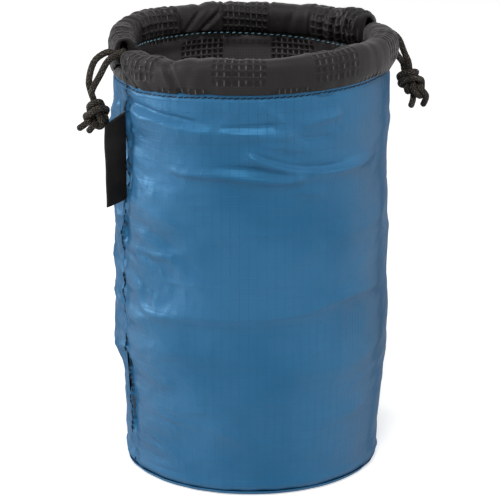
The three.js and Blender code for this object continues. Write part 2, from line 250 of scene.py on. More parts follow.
# %% [markdown]
# ## The cords
# Each cord is a tight braid, 2.6 mm thick. It runs round one half of the collar, comes out where the
# two halves meet and hangs beside its neighbour, and both are tied together in one overhand knot. The
# knot could be drawn point by point. Here it is tied: a loose trefoil is pulled tight while its
# points push each other apart, which is how a real knot finds its shape.
# %% Tie a knot
CORD = 2.6
KNOT_CORD = 2.15
CONTACT_GAP = 0.4
STRAND_OFFSET = 1.5
KNOT_SPACING = KNOT_CORD + CONTACT_GAP
# The loose knot: the points of a cord, the size of its loops, and how far its ends are led away.
KNOT_POINTS = 96
KNOT_REACH = 6.4
KNOT_PULL = 21.0
LOOSE_RADIUS = 3.6
LOOSE_DEPTH = 4.6
OPENING = 0.5
LEAD_SHARE = 0.17
# Drawing it tight: how often, which points are neighbours, how hard points are pushed apart and
# straightened, and when and how fast a cord gets longer or shorter.
SWEEPS = 2600
DRAW_SHARE = 0.9
PASSES = 6
CENTRING_PASSES = 3
KNOT_NEIGHBOURS = 4
PUSH_SHARE = 1.2
STIFFNESS = 0.08
SETTLED_STIFFNESS = 0.02
PRESSED_SHARE = 0.97
SLACK_SHARE = 1.04
GROWTH = 1.001
SHRINKAGE = 0.998


def unit(vector):
    """The direction of a vector, with length 1."""
    return np.asarray(vector, float) / np.linalg.norm(vector)


def trefoil(angle):
    """A three-lobed closed knot: sin a + 2 sin 2a, cos a - 2 cos 2a and -sin 3a."""
    return np.stack([
        np.sin(angle) + 2 * np.sin(2 * angle),
        np.cos(angle) - 2 * np.cos(2 * angle),
        -np.sin(3 * angle),
    ], axis=-1)


def loose_cord(along, hand, shift, upper_end, lower_end):
    """One cord of the loose knot: from its upper end into the opened trefoil and out to its lower
    end. hand is 1 or -1, the side to which its loops go round."""
    depth = np.array([0.0, 1.0, 0.0])
    across = hand * unit(np.cross(depth, along))
    last = KNOT_POINTS - 1
    lead = round(KNOT_POINTS * LEAD_SHARE)
    share = np.clip((np.arange(KNOT_POINTS) - lead) / (last - 2 * lead), 0, 1)
    x, y, z = trefoil((OPENING - math.pi) * (1 - 2 * share)).T
    level = trefoil(OPENING - math.pi)[1]
    points = (
        np.outer(-x * LOOSE_RADIUS, along)
        + np.outer((y - level) * LOOSE_RADIUS, across)
        + np.outer(z * LOOSE_DEPTH + shift, depth)
    )
    inwards = (np.arange(lead) / lead)[:, None]
    points[:lead] = upper_end + (points[lead] - upper_end) * inwards
    points[last - lead + 1:] = (lower_end + (points[last - lead] - lower_end) * inwards)[::-1]
    return points


def push_apart(cords, neighbours):
    """Moves apart all points closer than a squeezed cord is wide. Returns the least distance."""
    points = cords.reshape(-1, 3)
    gap = points[None] - points[:, None]
    distance = np.sqrt((gap**2).sum(axis=2))
    distance[neighbours] = np.inf
    pressed = distance < KNOT_SPACING
    push = np.where(pressed, (KNOT_SPACING / distance - 1) / 2, 0)
    moves = np.einsum("ij,ijk->jk", push, gap)
    touches = np.maximum(pressed.sum(axis=0), 1)
    points += moves * (PUSH_SHARE / touches)[:, None]
    return distance.min()


def straighten(points, spacing, stiffness):
    """Straightens a cord a little and brings its points to one spacing, with its ends held."""
    points[1:-1] += stiffness * ((points[:-2] + points[2:]) / 2 - points[1:-1])
    last = len(points) - 1
    for half_pass in range(2 * PASSES):
        first = half_pass % 2
        before, after = points[first:last:2], points[first + 1::2]
        gap = after - before
        gap *= (1 - spacing / np.linalg.norm(gap, axis=1, keepdims=True)) / 2
        held_first, held_last = points[0].copy(), points[last].copy()
        before += gap
        after -= gap
        points[0], points[last] = held_first, held_last


def draw_tight(cords):
    """Pulls the loose knot tight. Each cord gets shorter until it is taut, and gives way while the
    cords press on each other too hard."""
    number = np.arange(2 * KNOT_POINTS)
    same_cord = number[:, None] // KNOT_POINTS == number // KNOT_POINTS
    neighbours = same_cord & (np.abs(number[:, None] - number) < KNOT_NEIGHBOURS)
    spacings = [LOOSE_RADIUS / 2] * 2
    for sweep in range(SWEEPS):
        least = push_apart(cords, neighbours)
        settling = sweep > SWEEPS * DRAW_SHARE
        for c, points in enumerate(cords):
            straighten(points, spacings[c], SETTLED_STIFFNESS if settling else STIFFNESS)
            if settling:
                continue
            if least < PRESSED_SHARE * KNOT_SPACING:
                spacings[c] *= GROWTH
            elif np.linalg.norm(points[1] - points[0]) < SLACK_SHARE * spacings[c]:
                spacings[c] *= SHRINKAGE
    return least


# %% [markdown]
# The two knots hang a little below the collar, each with its own tails. The routes of the strands are
# the ones of the CAD model, given as distances outwards and upwards from where a strand has turned
# out of the collar.
# %% Routes of the four cords
TUNNEL_RADIUS = 53.05
TWIST_RADIUS = 1.6
TWIST_HEIGHT = 175.15
EXIT_HEIGHT = TWIST_HEIGHT + TWIST_RADIUS
BEND_RADIUS = 5.2
BEND_STEPS = 4
FACE_GAP = 0.3
PATH_STEP = 0.2

strand_routes = {
    "left_front": [[3.7, -1.9], [7.3, -7.5]],
    "left_back": [[2.6, 0.9], [8.3, -2.1], [11, -10.2]],
    "right_front": [[3.4, -3], [6.5, -9.2]],
    "right_back": [[4.4, -0.3], [8.6, -3.4], [11.6, -9.8]],
}
knot_places = {
    "left": dict(
        out=13.8, down=23.4, entry=[-0.2, 1], beside=[0.75, 0, 1.5],
        tails=[[3.4, -8, -1.4], [6.4, -7.6, 1.6]], hand=-1, order=1,
    ),
    "right": dict(
        out=19.8, down=22.6, entry=[-0.8, 1], beside=[1.3, 0, 0.75],
        tails=[[-5.5, -9, -1.4], [-1.2, -11.8, 1.4]], hand=1, order=-1,
    ),
}
ENDS = {"left": -1, "right": 1}
HALVES = {"front": -1, "back": 1}


def sideways(end, place):
    """A vector from distances outwards, upwards and, if given, towards the back, on one side."""
    out, rise, back = (*place, 0)[:3]
    return np.array([end * out, back, rise], float)


def knot_middle(side_name):
    """The middle of one side's knot: outwards and down from where its cords leave the collar."""
    place = knot_places[side_name]
    return sideways(ENDS[side_name], [TUNNEL_RADIUS + place["out"], EXIT_HEIGHT - place["down"]])


def trimmed(points, above, below):
    """The part of a cord within one distance of the knot's middle above it and another below it."""
    reach = np.where(np.arange(len(points)) < len(points) / 2, above, below)
    inside = np.flatnonzero(np.linalg.norm(points, axis=1) < reach)
    first, last = inside[0], inside[-1]

    def cut(start, stop, length):
        near, far = np.linalg.norm(points[start]), np.linalg.norm(points[stop])
        return points[start] + (points[stop] - points[start]) * (length - near) / (far - near)

    return np.concatenate([
        [cut(first, first - 1, above)], points[first:last + 1], [cut(last, last + 1, below)],
    ])


def tied_cords(side_name):
    """The front and the back cord of one knot, in place, from its reach above its middle to the
    tails' ends."""
    end, place = ENDS[side_name], knot_places[side_name]
    entry = unit(sideways(end, place["entry"]))
    cords = []
    for half, tail in zip((-1, 1), place["tails"]):
        upper_end = entry * KNOT_PULL + half * sideways(end, place["beside"])
        lower_end = unit(sideways(end, tail)) * KNOT_PULL + [0, half * STRAND_OFFSET, 0]
        shift = half * place["order"] * KNOT_SPACING / 2
        cords.append(loose_cord(-entry, place["hand"], shift, upper_end, lower_end))
    cords = np.array(cords)
    least = draw_tight(cords)
    centre = np.zeros(3)
    for _ in range(CENTRING_PASSES):
        points = cords.reshape(-1, 3)
        centre = points[np.linalg.norm(points - centre, axis=1) < KNOT_REACH].mean(axis=0)
    middle = knot_middle(side_name)
    print(side_name, "knot: least distance of its cords in mm", round(least, 2))
    print(side_name, "knot: its middle", np.round(middle, 2))
    return [
        trimmed(points - centre, KNOT_REACH, np.linalg.norm(tail)) + middle
        for points, tail in zip(cords, place["tails"])
    ]


def cord_route(side_name, half_name, tied):
    """The whole free cord: a quarter turn out of the collar, the strand, the knot and the tail."""
    end, half = ENDS[side_name], HALVES[half_name]
    angle = np.linspace(0, math.pi / 2, BEND_STEPS + 1)
    bend = np.stack([
        end * (TUNNEL_RADIUS + BEND_RADIUS * (1 - np.cos(angle))),
        half * (BEND_RADIUS + STRAND_OFFSET - BEND_RADIUS * np.sin(angle)),
        np.full(len(angle), EXIT_HEIGHT),
    ], axis=1)
    strand = [bend[-1] + sideways(end, place) for place in strand_routes[f"{side_name}_{half_name}"]]
    upwards = unit(tied[0] - tied[1])
    lead = [tied[0] + upwards * distance for distance in (CORD, FACE_GAP)]
    return np.concatenate([bend, strand, lead, tied])


routes = {}
for side_name in ENDS:
    for half_name, tied in zip(HALVES, tied_cords(side_name)):
        routes[side_name, half_name] = smooth_path(cord_route(side_name, half_name, tied), PATH_STEP)
        length = path_lengths(routes[side_name, half_name])[-1]
        print(side_name, half_name, "cord is", round(length, 1), "mm long outside the collar")

# %% [markdown]
# ## Finishes
# Every finish is a small node tree. Patterns that follow the cloth read the UV map, which holds real
# lengths, so that one value in metres sets a thread's pitch. Colours are written as they look.
# %% Helpers for materials


def from_screen(red, green, blue):
    """A colour as it looks on screen, 0 to 255, as the linear values that Blender works with."""
    shares = np.array([red, green, blue]) / 255
    linear = np.where(shares <= 0.04045, shares / 12.92, ((shares + 0.055) / 1.055) ** 2.4)
    return (*linear, 1.0)


class Finish:
    """A material with one Principled shader, and short ways to add and join nodes."""

    def __init__(self, name, roughness, **constants):
        self.material = bpy.data.materials.new(name)
        self.material.use_nodes = True
        self.tree = self.material.node_tree
        self.shader = self.tree.nodes["Principled BSDF"]
        self.shader.inputs["Roughness"].default_value = roughness
        for socket, value in constants.items():
            self.shader.inputs[socket.replace("_", " ")].default_value = value

    def join(self, value, socket):
        """Links an output to a socket, or sets the socket to a number or a colour."""
        if isinstance(value, bpy.types.NodeSocket):
            self.tree.links.new(value, socket)
        else:
            socket.default_value = value

    def math(self, operation, *values):
        """The output of a Math node."""
        node = self.tree.nodes.new("ShaderNodeMath")
        node.operation = operation
        for value, socket in zip(values, node.inputs):
            self.join(value, socket)
        return node.outputs[0]

    def mix(self, share, first, second):
        """The colour between two colours, at a share from 0 to 1."""
        node = self.tree.nodes.new("ShaderNodeMix")
        node.data_type = "RGBA"
        self.join(share, node.inputs["Factor"])
        self.join(first, node.inputs["A"])
        self.join(second, node.inputs["B"])
        return node.outputs["Result"]

    def ramp(self, value, low, high):
        """0 where the value is below low, 1 above high, smooth between."""
        node = self.tree.nodes.new("ShaderNodeMapRange")
        node.interpolation_type = "SMOOTHSTEP"
        self.join(value, node.inputs["Value"])
        node.inputs["From Min"].default_value = low
        node.inputs["From Max"].default_value = high
        return node.outputs["Result"]

    def fall(self, value, low, high):
        """1 where the value is below low, 0 above high, smooth between."""
        return self.math("SUBTRACT", 1.0, self.ramp(value, low, high))

    def over(self, ground, share, strength, colour):
        """The ground with a screen colour over it, at a share times a strength."""
        return self.mix(self.math("MULTIPLY", share, strength), ground, from_screen(*colour))

    def uv(self):
        """The two lengths of the UV map, in metres."""
        texture = self.tree.nodes.new("ShaderNodeUVMap")
        texture.uv_map = "UVMap"
        parts = self.tree.nodes.new("ShaderNodeSeparateXYZ")
        self.join(texture.outputs["UV"], parts.inputs[0])
        return parts.outputs["X"], parts.outputs["Y"]

    def place(self):
        """The piece's own coordinates, in metres."""
        return self.tree.nodes.new("ShaderNodeTexCoord").outputs["Object"]

    def noise(self, place, size, detail, stretch=(1, 1, 1)):
        """Cloudy noise whose blots are about size metres wide, from 0 to 1."""
        scale = self.tree.nodes.new("ShaderNodeMapping")
        scale.inputs["Scale"].default_value = stretch
        self.join(place, scale.inputs["Vector"])
        node = self.tree.nodes.new("ShaderNodeTexNoise")
        self.join(scale.outputs[0], node.inputs["Vector"])
        node.inputs["Scale"].default_value = 1 / size
        node.inputs["Detail"].default_value = detail
        return node.outputs["Fac"]

    def lines(self, length, pitch, width):
        """1 on lines a pitch apart, 0 between them, for a length in metres."""
        away = self.math("PINGPONG", length, pitch / 2)
        return self.fall(away, width / 4, width)

    def bump(self, height, distance):
        """Tilts the shader's normal by a height from 0 to 1 of a distance in metres."""
        node = self.tree.nodes.new("ShaderNodeBump")
        node.inputs["Distance"].default_value = distance
        self.join(height, node.inputs["Height"])
        self.join(node.outputs[0], self.shader.inputs["Normal"])

    def colour(self, value):
        """Sets or links the base colour."""
        self.join(value, self.shader.inputs["Base Color"])


def dress(piece, finish):
    """Gives a piece its material."""
    piece.data.materials.clear()
    piece.data.materials.append(finish.material)
    print(piece.name, "has", len(piece.data.polygons), "faces")


def lean_with_mouth(piece):
    """Bakes the piece's transform into its mesh."""
    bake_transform(piece)


def slide_with_mouth(piece):
    """Bakes the piece's transform into its mesh."""
    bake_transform(piece)


# %% [markdown]
# The braid is real relief on the tube: two families of strands wind round it in opposite directions,
# and the higher of the two shows. The free cord thins where the knot squeezes it, and its tail ends
# in the small round bead of a melted end.
# %% Braided cord surfaces
BRAID_STRANDS = 7
# The length in which a strand goes once round the cord.
BRAID_TURN = 11.84
BRAID_RELIEF = 0.1
BRAID_MEAN = 0.6
CORD_SIDES = 56
TIP_SHARE = 0.02
# The cord is squeezed in the knot's core and gets its full width over the knot's edge.
KNOT_SQUEEZE = 0.97
KNOT_CORE = 4.5
KNOT_EDGE = 3.0


def braid_height(along, angle):
    """The strand on top: the greater of the cosines of the two windings, strands times the
    angle plus and minus the length times a full turn over the length of a strand's turn."""
    wind = 2 * math.pi * BRAID_STRANDS * along / BRAID_TURN
    return np.maximum(np.cos(BRAID_STRANDS * angle + wind), np.cos(BRAID_STRANDS * angle - wind))


def braided_tube(name, path, radius, round_end=False):
    """A tube of a radius that may change along the path, with the braid's relief, and if asked with
    a rounded last end: over its last radius the tube narrows as a quarter circle does."""
    along = path_lengths(path)
    radius = np.broadcast_to(radius, along.shape)
    if round_end:
        left = np.clip((along[-1] - along) / CORD * 2, 0, 1)
        radius = radius * np.sqrt(np.maximum(1 - (1 - left) ** 2, TIP_SHARE))
    angle = np.linspace(0, 2 * math.pi, CORD_SIDES, endpoint=False)
    relief = BRAID_RELIEF * (braid_height(along[:, None], angle) - BRAID_MEAN)
    reach = radius[:, None] * (1 + relief)
    first, second = path_frames(path)
    rings = path[:, None] + reach[..., None] * (
        np.cos(angle)[:, None] * first[:, None] + np.sin(angle)[:, None] * second[:, None]
    )
    v = np.linspace(0, 2 * math.pi, CORD_SIDES + 1) * CORD / 2
    return add_tube(name, rings, along, v)


cord_finish = Finish("braided cord", 0.72, Sheen_Weight=0.06, Sheen_Roughness=0.4, Specular_IOR_Level=0.2)
cord_u, cord_v = cord_finish.uv()
wind = cord_finish.math("MULTIPLY", cord_u, 2 * math.pi * BRAID_STRANDS / (BRAID_TURN * MM))
turn = cord_finish.math("MULTIPLY", cord_v, 2 * BRAID_STRANDS / (CORD * MM))
families = [cord_finish.math("COSINE", cord_finish.math(way, turn, wind)) for way in ("ADD", "SUBTRACT")]
on_top = cord_finish.ramp(cord_finish.math("MAXIMUM", *families), 0.1, 1.0)
# Painted shade darkens the cord between its strands; painted highlights are pale flecks on their tops.
painted_glints = cord_finish.ramp(cord_finish.noise(cord_finish.place(), 0.0006, 1.0), 0.52, 0.66)
body = cord_finish.mix(on_top, from_screen(16, 14, 12), from_screen(58, 52, 46))
cord_finish.colour(cord_finish.over(body, painted_glints, on_top, (118, 110, 98)))
cord_finish.bump(on_top, 0.00012)

for (side_name, half_name), path in routes.items():
    middle = knot_middle(side_name)
    in_knot = 1 - smooth((np.linalg.norm(path - middle, axis=1) - KNOT_CORE) / KNOT_EDGE)
    radius = CORD / 2 * (1 - in_knot * (1 - KNOT_SQUEEZE * KNOT_SPACING / CORD))
    cord = braided_tube(f"{side_name}_{half_name}_cord", path, radius, round_end=True)
    dress(cord, cord_finish)
    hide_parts(f"{side_name}_cord_{half_name}_strand", f"{side_name}_knot_{half_name}_cord")
    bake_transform(cord)

# %% [markdown]
# Inside the collar the two cords lie side by side and wind half a turn round each other, so that
# each starts above the other at its own side and ends below it at the far side.
# %% Cords inside the collar
CORD_SPACING = 6.0


def tunnel_path(end, half):
    """A cord's run: a half circle whose radius and height swing by the sine and the cosine of the
    winding, which goes from 0 to half a turn."""
    start = math.asin((BEND_RADIUS + STRAND_OFFSET + FACE_GAP) / TUNNEL_RADIUS)
    stop = math.pi - FACE_GAP / 2 / TUNNEL_RADIUS
    angle = np.linspace(start, stop, round(math.pi * TUNNEL_RADIUS / CORD_SPACING) + 1)
    wind = math.pi * smooth((angle - start) / (stop - start))
    radius = TUNNEL_RADIUS + end * TWIST_RADIUS * np.sin(wind)
    return np.stack([
        end * radius * np.cos(angle), half * radius * np.sin(angle),
        TWIST_HEIGHT + TWIST_RADIUS * np.cos(wind),
    ], axis=1)


for side_name, end in ENDS.items():
    for half_name, half in HALVES.items():
        path = smooth_path(tunnel_path(end, half), 1.0)
        run = braided_tube(f"{side_name}_{half_name}_tunnel_cord", path, CORD / 2)
        dress(run, cord_finish)
        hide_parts(f"{side_name}_cord_{half_name}_run")
        slide_with_mouth(run)

# %% [markdown]
# ## Folds in the cloth
# Nylon over foam keeps three kinds of relief: long folds that run from the seams, small puckers
# square to each row of stitches, and a faint crumple everywhere. Each fold here is a crest along a few
# chosen points, with its own fall above and below, so it catches the light as the real one does.
# %% Folds, puckers and crumple
ARC = math.radians(1) * SLEEVE_RADIUS
LATTICE = 512
# How many widths a fold reaches to each side, and the step along its line in mm.
FOLD_REACH = 5
FOLD_STEP = 1.5


def cloudy(x, y, seed, around=None):
    """Smooth random heights from -1 to 1: random values on a lattice of unit squares, joined by an
    even S. With around, x repeats after that many squares."""
    table = np.random.default_rng(seed).uniform(-1, 1, (around or LATTICE, LATTICE))
    left, low = np.floor(x).astype(int), np.floor(y).astype(int)
    across, up = smooth(x - left), smooth(y - low)
    corner = [[table[(left + i) % len(table), (low + j) % LATTICE] for j in (0, 1)] for i in (0, 1)]
    near, far = [first * (1 - up) + second * up for first, second in corner]
    return near * (1 - across) + far * across


def bell(distance, width):
    """1 at distance 0 and less to both sides: exp(-(distance / width) squared)."""
    return np.exp(-((distance / width) ** 2))


def crumple(turn, height, size, seed, flat=1.0):
    """Creased relief of about unit height: minus the size of a cloudy field whose places are
    themselves shifted by another, which leaves narrow crests where the field is zero."""
    around = round(360 * ARC / size)
    x, y = turn / 360 * around, height / (size * flat)
    shift = cloudy(x, y, seed + 1, around)
    return 0.5 - np.sqrt(cloudy(x + 0.6 * shift, y + 0.6 * shift, seed, around) ** 2 + 0.012) * 1.6


def fold(turn, height, line, rise, above, below, edge, fade):
    """One fold: rise times exp(-(root of distance squared plus edge squared, less edge) / width) from
    its line, with another width on each side, fading out over some mm at the line's two ends."""
    middle = np.mean([point[0] for point in line])
    x = ((turn - middle + 180) % 360 - 180 + middle) * ARC
    path = smooth_path([[a * ARC, z, 0] for a, z in line], FOLD_STEP)[:, :2]
    reach = FOLD_REACH * max(above, below)
    low, high = path.min(axis=0) - reach, path.max(axis=0) + reach
    near = (x > low[0]) & (x < high[0]) & (height > low[1]) & (height < high[1])
    relief = np.zeros(x.shape)
    if not near.any():
        return relief
    points = np.stack([x[near], height[near]], axis=1)
    nearest = ((points[:, None] - path[None]) ** 2).sum(axis=2).argmin(axis=1)
    tangent = directions(np.gradient(path, axis=0))[nearest]
    offset = points - path[nearest]
    away = tangent[:, 0] * offset[:, 1] - tangent[:, 1] * offset[:, 0]
    along = path_lengths(path)[nearest] + (tangent * offset).sum(axis=1)
    length = path_lengths(path)[-1]
    width = np.where(away > 0, above, below)
    crest = np.exp(-(np.sqrt(away**2 + edge**2) - edge) / width)
    relief[near] = rise * crest * smooth(along / fade[0] + 0.01) * smooth((length - along) / fade[1])
    return relief


def swelling(turn, height, middle, size, rise):
    """A soft round swelling or, with a negative rise, a dent: rise times exp(-(distance/size) squared)."""
    across = ((turn - middle[0] + 180) % 360 - 180) * ARC / size[0]
    return rise * np.exp(-(across**2) - ((height - middle[1]) / size[1]) ** 2)


def puckers(along, away, rise, pitch, reach, seed, lean):
    """Small ridges square to a seam, about a pitch apart along it, that die away over a reach in mm:
    rise times cloudy heights times exp(-away / reach)."""
    wave = cloudy((along + lean * away) / pitch, away / (4 * pitch) + 7, seed)
    return rise * (wave * np.exp(-away / reach))


def read_off(table, place):
    """A value read off a table of places and values, straight between its rows."""
    return np.interp(place, *np.array(table, float).T)


# Long folds, as rise, fall above, fall below, sharpness of the edge, fade at both ends, and the line.
front_folds = [
    (3.1, 3.0, 6.0, 0.7, (14, 14),
     [(2, 159.5), (8.5, 157.2), (23.6, 155.3), (38.7, 153.5), (53.6, 152.4), (60, 152.4)]),
    (-1.9, 0.9, 2.2, 0.3, (4, 10),
     [(3, 162.5), (8.6, 160.2), (18.8, 158.9), (29.1, 157.8), (38.8, 157.1), (52, 155.8)]),
    (1.9, 2.6, 3.0, 0.5, (5, 6), [(53, 153.4), (60, 152.8), (67.5, 152.1), (77, 151.5), (87, 151.9)]),
    (-1.3, 0.8, 1.8, 0.3, (5, 5), [(54, 154.6), (67.5, 155.3), (80, 155.9)]),
    (2.2, 3.6, 1.6, 0.5, (16, 5),
     [(28, 136.8), (37.6, 135.6), (53.6, 135.6), (67.5, 134.4), (80.5, 133.2), (91, 134.3)]),
    (-1.2, 0.9, 2.4, 0.3, (14, 6), [(48, 139.6), (67.5, 138.6), (84, 136.6), (93, 136.2)]),
    (2.8, 2.0, 3.0, 0.4, (8, 18),
     [(63, 145.4), (72.1, 141.6), (80.5, 138.5), (87.5, 136.8), (100.8, 135.6), (111.2, 136),
      (133, 137.4)]),
    (-1.3, 0.7, 1.6, 0.3, (8, 14),
     [(66, 146.4), (72.1, 143.6), (80.5, 140.7), (87.4, 138.9), (98.4, 137.9), (114, 138.4)]),
    (1.3, 1.6, 2.4, 0.5, (3, 5), [(70, 165.4), (74, 162), (79, 158.6), (82, 154.6)]),
    (1.2, 2.0, 2.0, 0.5, (3, 4), [(57.4, 165.4), (59.6, 162), (63.6, 157.6)]),
    (1.5, 2.6, 1.4, 0.4, (5, 5), [(86, 155.2), (93, 156.2), (101, 157.2), (108, 157.8)]),
    (-1.0, 0.8, 1.6, 0.4, (5, 5), [(86, 150.4), (94, 149.4), (104, 150.2)]),
    (0.9, 2.2, 1.2, 0.4, (6, 6), [(70, 147.6), (78, 147.4), (90, 145.4)]),
    (0.8, 2.0, 1.2, 0.4, (6, 6), [(82, 128.4), (90, 128), (100, 126)]),
    (1.8, 6.0, 9.0, 1.8, (8, 24),
     [(3, 108), (12, 106.6), (22.6, 103.7), (38.2, 95.4), (51.3, 85.7), (66, 76)]),
    (-1.0, 3.0, 6.0, 1.6, (8, 24), [(3, 113), (22.7, 108.6), (38.2, 100.6), (51.3, 91), (63.5, 82.7)]),
    (1.3, 3.0, 5.0, 1.0, (5, 16), [(5, 120), (19.8, 118.1), (33.6, 114.5), (48, 108.4)]),
    (1.7, 6.0, 3.0, 0.8, (12, 20),
     [(4, 67.6), (27.8, 74.1), (47, 76.5), (67.4, 76.9), (87.8, 78.3), (106.5, 82.1), (131.2, 82),
      (142, 80)]),
    (1.5, 8.0, 5.0, 2.0, (8, 30), [(2, 51), (12, 56), (35, 61), (54, 60), (80, 55)]),
    (1.0, 4.0, 3.0, 0.8, (10, 10), [(46, 32), (56, 27.6), (70, 22)]),
    (1.1, 6.0, 4.0, 1.5, (12, 20), [(2, 128), (16, 126), (34, 123), (54, 122)]),
    (0.8, 5.0, 3.0, 1.0, (12, 20), [(96, 112), (112, 108), (130, 110), (150, 116)]),
    (1.1, 7.0, 5.0, 2.0, (20, 20), [(70, 60), (96, 52), (120, 54), (146, 62)]),
    (0.8, 4.0, 3.0, 1.0, (16, 16), [(88, 36), (108, 30), (132, 33)]),
    (0.6, 3.0, 2.0, 0.6, (10, 20), [(170, 150), (156, 146), (140, 146), (126, 149)]),
    (1.0, 5.0, 4.0, 1.5, (10, 20), [(176, 96), (160, 100), (142, 98)]),
    (1.0, 5.0, 3.0, 1.5, (12, 20), [(176, 42), (162, 46), (144, 42)]),
    (0.8, 3.0, 1.6, 0.6, (3, 14), [(1, 150), (10, 147.6), (20, 147)]),
    (0.8, 3.0, 1.6, 0.6, (3, 14), [(1, 98), (9, 94), (22, 92)]),
    (1.0, 3.0, 1.8, 0.6, (3, 16), [(1, 84), (10, 82), (24, 82.6)]),
    (0.8, 3.0, 1.8, 0.6, (3, 16), [(1, 70), (9, 70.6), (20, 73)]),
    (1.0, 2.6, 1.8, 0.6, (3, 12), [(1, 40), (9, 38), (20, 38.6)]),
]
back_folds = [
    (1.4, 2.0, 1.4, 0.4, (3, 10), [(-1, 108), (-8, 113), (-16, 120), (-24, 124)]),
    (1.4, 2.0, 1.6, 0.5, (3, 12), [(-1, 158), (-8, 150), (-14, 146), (-26, 144)]),
    (1.1, 2.0, 1.6, 0.5, (3, 12), [(-1, 140), (-9, 143), (-20, 150), (-30, 152)]),
    (1.3, 2.6, 2.0, 0.6, (3, 14), [(-1, 92), (-10, 88), (-24, 90), (-36, 88)]),
    (1.3, 3.0, 2.0, 0.6, (3, 14), [(-1, 72), (-10, 75), (-22, 72)]),
    (1.4, 3.0, 2.4, 0.8, (3, 16), [(-1, 54), (-12, 50), (-28, 53), (-40, 56)]),
    (1.9, 3.0, 2.0, 0.5, (20, 20), [(-40, 152), (-62, 148), (-84, 150), (-110, 146), (-134, 148)]),
    (1.9, 8.0, 7.0, 3.0, (20, 30), [(-30, 118), (-56, 112), (-84, 100), (-104, 92)]),
    (1.4, 5.0, 2.0, 0.6, (20, 20), [(-60, 132), (-82, 130), (-104, 133), (-128, 128)]),
    (1.3, 6.0, 3.0, 1.0, (20, 20), [(-44, 78), (-70, 74), (-98, 76), (-126, 82), (-150, 80)]),
    (1.8, 8.0, 5.0, 2.0, (20, 20), [(-52, 50), (-84, 54), (-112, 48), (-140, 52)]),
    (1.3, 3.0, 2.0, 0.6, (10, 20), [(-172, 140), (-158, 137), (-142, 139), (-124, 142)]),
    (1.1, 5.0, 3.0, 1.2, (10, 20), [(-174, 108), (-160, 112), (-146, 108), (-128, 110)]),
    (1.0, 4.0, 3.0, 1.0, (12, 16), [(-166, 36), (-146, 32), (-124, 34)]),
]
# Swellings and dents, as rise, size round and up, and middle.
swellings = [
    (-2.0, (16, 13), (-14, 37)), (-0.9, (14, 9), (12, 36)), (1.4, (9, 9), (-20, 118)),
    (0.8, (12, 12), (-18, 60)), (-1.0, (10, 6), (60, 161)), (0.9, (9, 5), (62, 166)),
    (0.9, (20, 10), (110, 150)), (-0.8, (22, 8), (112, 143)), (1.0, (26, 16), (40, 122)),
    (-0.9, (18, 12), (30, 92)), (1.0, (30, 18), (110, 100)), (-0.8, (26, 12), (80, 66)),
    (0.8, (24, 14), (60, 40)), (-0.8, (20, 12), (100, 42)), (0.9, (30, 16), (140, 66)),
    (-0.9, (24, 12), (146, 128)), (-0.9, (24, 14), (-60, 86)), (0.9, (30, 16), (-90, 118)),
    (-0.8, (26, 12), (-110, 66)), (0.9, (24, 14), (-140, 96)),
]
# Heights and turns of the side seam's line, which is not quite upright.
seam_line = [(0, 2), (20, 1.5), (40, 1), (55, 0), (73, 0), (90, 0), (104, 1), (117, 3), (134, 5.1),
             (153, 5.6), (160, 6.5), (169, 6.5)]
# Turns and heights of the border between the sleeve and the collar.
front_border = [
    (0, 166.4), (5, 166.4), (11, 166.0), (14.5, 165.6), (24, 166.0), (40, 167.0), (50, 167.8), (74, 168.1),
    (95, 168.5), (118, 168.9), (134, 169.1), (149, 168.4), (180, 168),
]
back_border = [(0, 166.4), (15, 166.5), (30, 167.4), (60, 168.6), (150, 168.8), (180, 168)]
# Crumple, as size in mm, seed, flatness, and height in mm everywhere and besides near the side seam.
crumples = [(24, 3, 0.55, 0.45, 0.30), (11, 8, 0.6, 0.26, 0.26), (5, 15, 0.7, 0.09, 0.12)]
NEAR_SEAM = 42
# Round one turn, within a width in degrees, the crumple is less by a share.
CALM = dict(turn=118, width=46, share=0.45)
# Puckers, as height, pitch and reach in mm, seed and lean.
puckering = {
    "right of seam": (1.4, 5.2, 9, 21, 0.25),
    "left of seam": (1.4, 6.0, 10, 22, -0.3),
    "at seam": (0.4, 2.3, 4, 23, 0),
    "at top": (0.22, 2.6, 3.2, 31, 0),
    "below top": (0.30, 7.0, 7.0, 32, 0),
    "at base": (0.30, 6.0, 8.0, 33, 0),
}
# The valley beside the side seam: its depth and its distance from the seam in mm, how deep it is on
# the seam's left, and how deep outside the heights where it starts and ends, with the fades there.
SEAM_VALLEY = 2.0
VALLEY_AWAY = 2.6
VALLEY_LEFT = 0.3
VALLEY_REST = 0.35
VALLEY_START, VALLEY_START_FADE = 96, 20
VALLEY_END, VALLEY_END_FADE = 166, 14
# Over how many mm from a hem the relief grows, and the share of it that is left at each hem.
HEM_REACH = 9
TOP_REST = 0.15
BASE_REST = 0.2
# The top's row of stitches below the border, and narrow ridges and grooves as height and width in mm.
STITCH_DROP = 1.4
SEAM_GROOVE = (0.5, 0.8)
TOP_GROOVE = (0.40, 0.55)
TOP_RIDGE = (0.25, 0.7)
TOP_RIDGE_DROP = 0.5
BASE_RIDGE = (0.55, 1.3)
BASE_RIDGE_HEIGHT = 4.6
BASE_TUCK = 0.5
BASE_TUCK_HEIGHT, BASE_TUCK_FADE = 3.4, 1.4


def seam_turn(height):
    """The turn of the side seam at a height, read off its line."""
    return read_off(seam_line, height)


def border_height(turn):
    """The height of the sleeve's upper edge, read off the two borders."""
    return np.where(turn > 0, read_off(front_border, turn), read_off(back_border, -turn))


def ridge(distance, rise, width):
    """A soft ridge: rise times the bell of the distance and the width."""
    return rise * bell(distance, width)


def hem_share(away, rest):
    """The share of the relief that is left at a distance from a hem: rest at the hem, 1 far away."""
    return smooth(away / HEM_REACH) * (1 - rest) + rest


